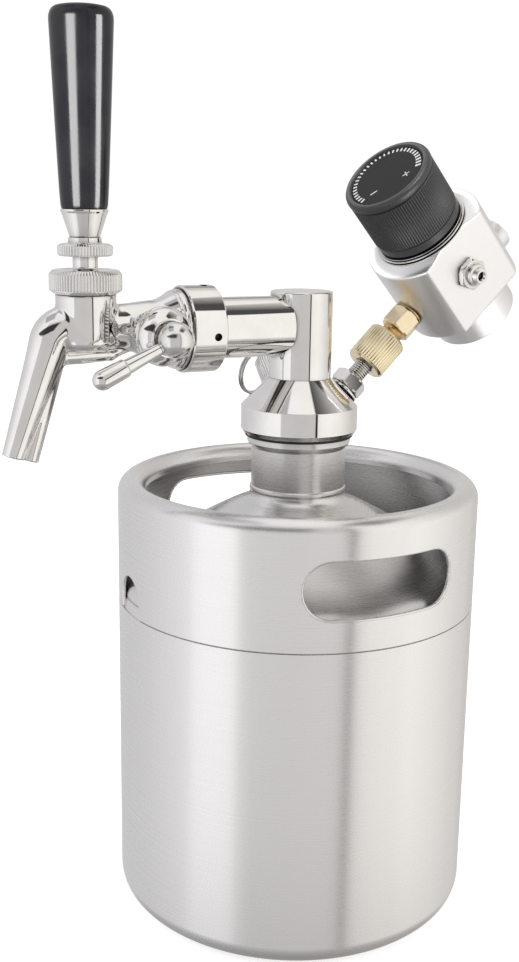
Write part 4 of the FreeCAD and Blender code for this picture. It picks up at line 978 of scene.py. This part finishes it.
# Dark cards on the ceiling: reach to the right, reach to the camera, where the darkness starts and is full,
# the share of light lost, and the softness of the edge.
CEILING_CARDS = (
    ((0.34, 0.88), (-0.50, 0.42), (-0.50, 0.10), 0.92, 0.02),
    ((-0.80, -0.24), (-0.30, 0.42), (-0.3, -0.2), 0.5, 0.02),
    ((-0.25, 0.25), (-2.4, -1.3), (-2.4, -2.3), 0.45, 0.02),
    ((-2.3, 0.3), (0.95, 2.8), (1.0, 1.1), 0.93, 0.12))


def studio():
    """A bright tent: pale all round, greyer in front and below, with dark cards for the polished metal."""
    world = bpy.data.worlds.new("studio")
    SCENE.world = world
    world.use_nodes = True
    tree = world.node_tree
    tree.nodes.clear()
    calc, scaled = partial(math_node, tree), partial(ramp, tree)
    x, y, up = split_xyz(tree, add_node(tree, "TexCoord", "Generated"))

    def along(first, second):
        return calc("ADD", calc("MULTIPLY", x, first), calc("MULTIPLY", y, second))

    def blend(first, second, factor):
        return calc("ADD", first, calc("MULTIPLY", calc("SUBTRACT", second, first), factor))

    def window(value, low, high, edge):
        return calc("MULTIPLY", scaled(value, 0, 1, low - edge, low + edge),
                    scaled(value, 1, 0, high - edge, high + edge))

    out_x, out_y = math.sin(math.radians(62.5)), -math.cos(math.radians(62.5))
    toward, right = along(out_x, out_y), along(-out_y, out_x)
    azimuth = calc("MULTIPLY", calc("ARCTAN2", right, toward), 180 / math.pi)
    height = calc("MULTIPLY", calc("ARCSINE", up), 180 / math.pi)
    brightest = 1.25  # the colour ramp's stops are kept below one
    wheel = add_node(tree, "ValToRGB", "Color", {"Fac": scaled(azimuth, 0, 1, -180, 180)})
    stops = wheel.node.color_ramp.elements
    stops.remove(stops[1])
    for index, (degrees, level) in enumerate(ALL_ROUND):
        stop = stops[0] if index == 0 else stops.new(degrees / 360 + 0.5)
        stop.position = degrees / 360 + 0.5
        stop.color = (level / brightest,) * 3 + (1,)
    around = calc("MULTIPLY", wheel, brightest)
    ceiling, ground = scaled(height, 0.92, 1.0, 40, 80), scaled(height, 0.30, 0.46, -80, -34)
    level = blend(around, ceiling, scaled(height, 0, 1, 44, 54))
    level = blend(ground, level, scaled(height, 0, 1, -41, -33))
    above = calc("MAXIMUM", up, 0.05)
    over_right, over_back = calc("DIVIDE", right, above), calc("DIVIDE", toward, above)
    for (left, far), (near, back), (start, full), loss, edge in CEILING_CARDS:
        mask = calc("MULTIPLY", window(over_right, left, far, edge), window(over_back, near, back, edge))
        mask = calc("MULTIPLY", mask, scaled(over_back, 0.25, 1, start, full))
        mask = calc("MULTIPLY", mask, scaled(up, 0, 1, 0.25, 0.35))
        level = calc("MULTIPLY", level, calc("SUBTRACT", 1.0, calc("MULTIPLY", mask, loss)))
    tone = mix_colour(tree, scaled(azimuth, 0, 1, -60, 60), (0.985, 0.98, 1.0), (1.0, 0.975, 0.945))
    light = add_node(tree, "Background", 0, {"Color": tone, "Strength": level})
    plain = add_node(tree, "Background", 0, {"Color": (1, 1, 1, 1), "Strength": 1.02})
    seen = add_node(tree, "LightPath", "Is Camera Ray")
    choose = add_node(tree, "MixShader", 0, {0: seen, 1: light, 2: plain})
    output = tree.nodes.new("ShaderNodeOutputWorld")
    tree.links.new(choose, output.inputs[0])


def soft_light(name, place_at, aim, size, power, colour=(1, 1, 1), only=None):
    """A soft panel; with a list of objects it lights and shows in those alone."""
    data = bpy.data.lights.new(name, "AREA")
    data.shape = "RECTANGLE"
    data.size, data.size_y = size
    data.energy = power
    data.color = colour
    obj = bpy.data.objects.new(name, data)
    obj.location = place_at
    obj.rotation_mode = "QUATERNION"
    obj.rotation_quaternion = (Vector(aim) - Vector(place_at)).to_track_quat("-Z", "Y")
    obj.visible_glossy = only is not None
    SCENE.collection.objects.link(obj)
    if only:
        group = bpy.data.collections.new(name + "_only")
        for receiver in only:
            group.objects.link(bpy.data.objects[receiver])
        obj.light_linking.receiver_collection = group


def toward_camera(azimuth, height, distance, centre):
    """A place round a centre, by degrees from the camera's side and degrees up."""
    turn, up = math.radians(azimuth), math.radians(height)
    out = Vector((0.887, -0.4617, 0)) * math.cos(turn) + Vector((0.4617, 0.887, 0)) * math.sin(turn)
    return Vector(centre) + distance * (out * math.cos(up) + Vector((0, 0, 1)) * math.sin(up))


TAP, GAS, LOW = (0, -0.1, 0.36), (0, 0.08, 0.29), (0, 0, 0.12)
# Soft panels for single pieces: name, point aimed at, degrees round, degrees up, distance, size, power,
# pieces that get the light, and a colour if it is not white.
PANELS = (
    ("handle_left", TAP, -28, -3, 1.2, (0.7, 0.9), 66.0, ["handle_grip"]),
    ("handle_right", TAP, 76, -3, 1.2, (0.5, 0.9), 46.0, ["handle_grip"]),
    ("gas_panel", GAS, 46, 10, 1.0, (0.6, 0.7), 2.2, ["regulator_block"]),
    ("gas_fill", GAS, -25, -30, 0.6, (0.6, 0.6), 1.0, ["regulator_block", "cylinder_collar"]),
    ("gas_under", GAS, 70, -40, 0.6, (0.5, 0.5), 0.8, ["cylinder_collar"]),
    ("gas_over", GAS, -134, 45, 0.9, (0.6, 0.6), 1.4, ["regulator_block", "pressure_knob"]),
    ("knob_panel", GAS, -10, 62, 1.0, (0.5, 0.5), 6.0, ["pressure_knob"]),
    ("knob_side", GAS, 40, -20, 0.6, (0.35, 0.35), 2.0, ["pressure_knob"]),
    ("union_panel", GAS, 20, 32, 0.8, (0.7, 0.7), 0.45, ["union_grip"], (1, 0.97, 0.92)),
    ("keg_front", LOW, 2, -12, 1.2, (1.4, 1.2), 0.75, ["keg_cup", "keg_collar"]),
    ("keg_band", LOW, -47, -12, 1.2, (0.75, 1.2), 0.45, ["keg_cup", "keg_collar"]),
    ("keg_right", LOW, 105, -12, 1.2, (1.5, 1.2), 0.55, ["keg_cup", "keg_collar"]),
)


def lights():
    middle = (0, 0, 0.2)
    soft_light("key", (-0.35, -1.15, 0.95), middle, (0.55, 0.9), 3.0, (1, 0.99, 0.97))
    soft_light("side", (1.15, 0.85, 0.75), middle, (0.4, 1.1), 3.0, (1, 0.985, 0.96))
    soft_light("top", (0.0, 0.0, 1.6), middle, (1.0, 1.0), 5.0)
    for name, spot, azimuth, height, distance, size, power, pieces, *colour in PANELS:
        source = toward_camera(azimuth, height, distance, spot)
        soft_light(name, source, spot, size, power, *colour, only=pieces)


def floor():
    size = 6000.0
    corners = [(-size, -size, 0), (size, -size, 0), (size, size, 0), (-size, size, 0)]
    obj = make_object("floor", corners, [(0, 1, 2, 3)], smooth=False)
    material, tree, shader = node_tools("floor")
    feed(tree, shader, {"Base Color": (0.93, 0.93, 0.93, 1), "Roughness": 0.6,
                        "Emission Color": (1, 1, 1, 1), "Emission Strength": 0.5})
    obj.data.materials.append(material)
    obj.visible_glossy = False
    obj.visible_shadow = False


for build in (dress_cad, keg, collar, head, coupling_nut, relief_valve, pull_ring, gas_line, regulator,
              regulator_knob, faucet, tap_lever, flow_control, camera, studio, lights, floor):
    build()
SCENE.view_settings.view_transform = "Standard"
SCENE.cycles.max_bounces = 10
SCENE.cycles.glossy_bounces = 6
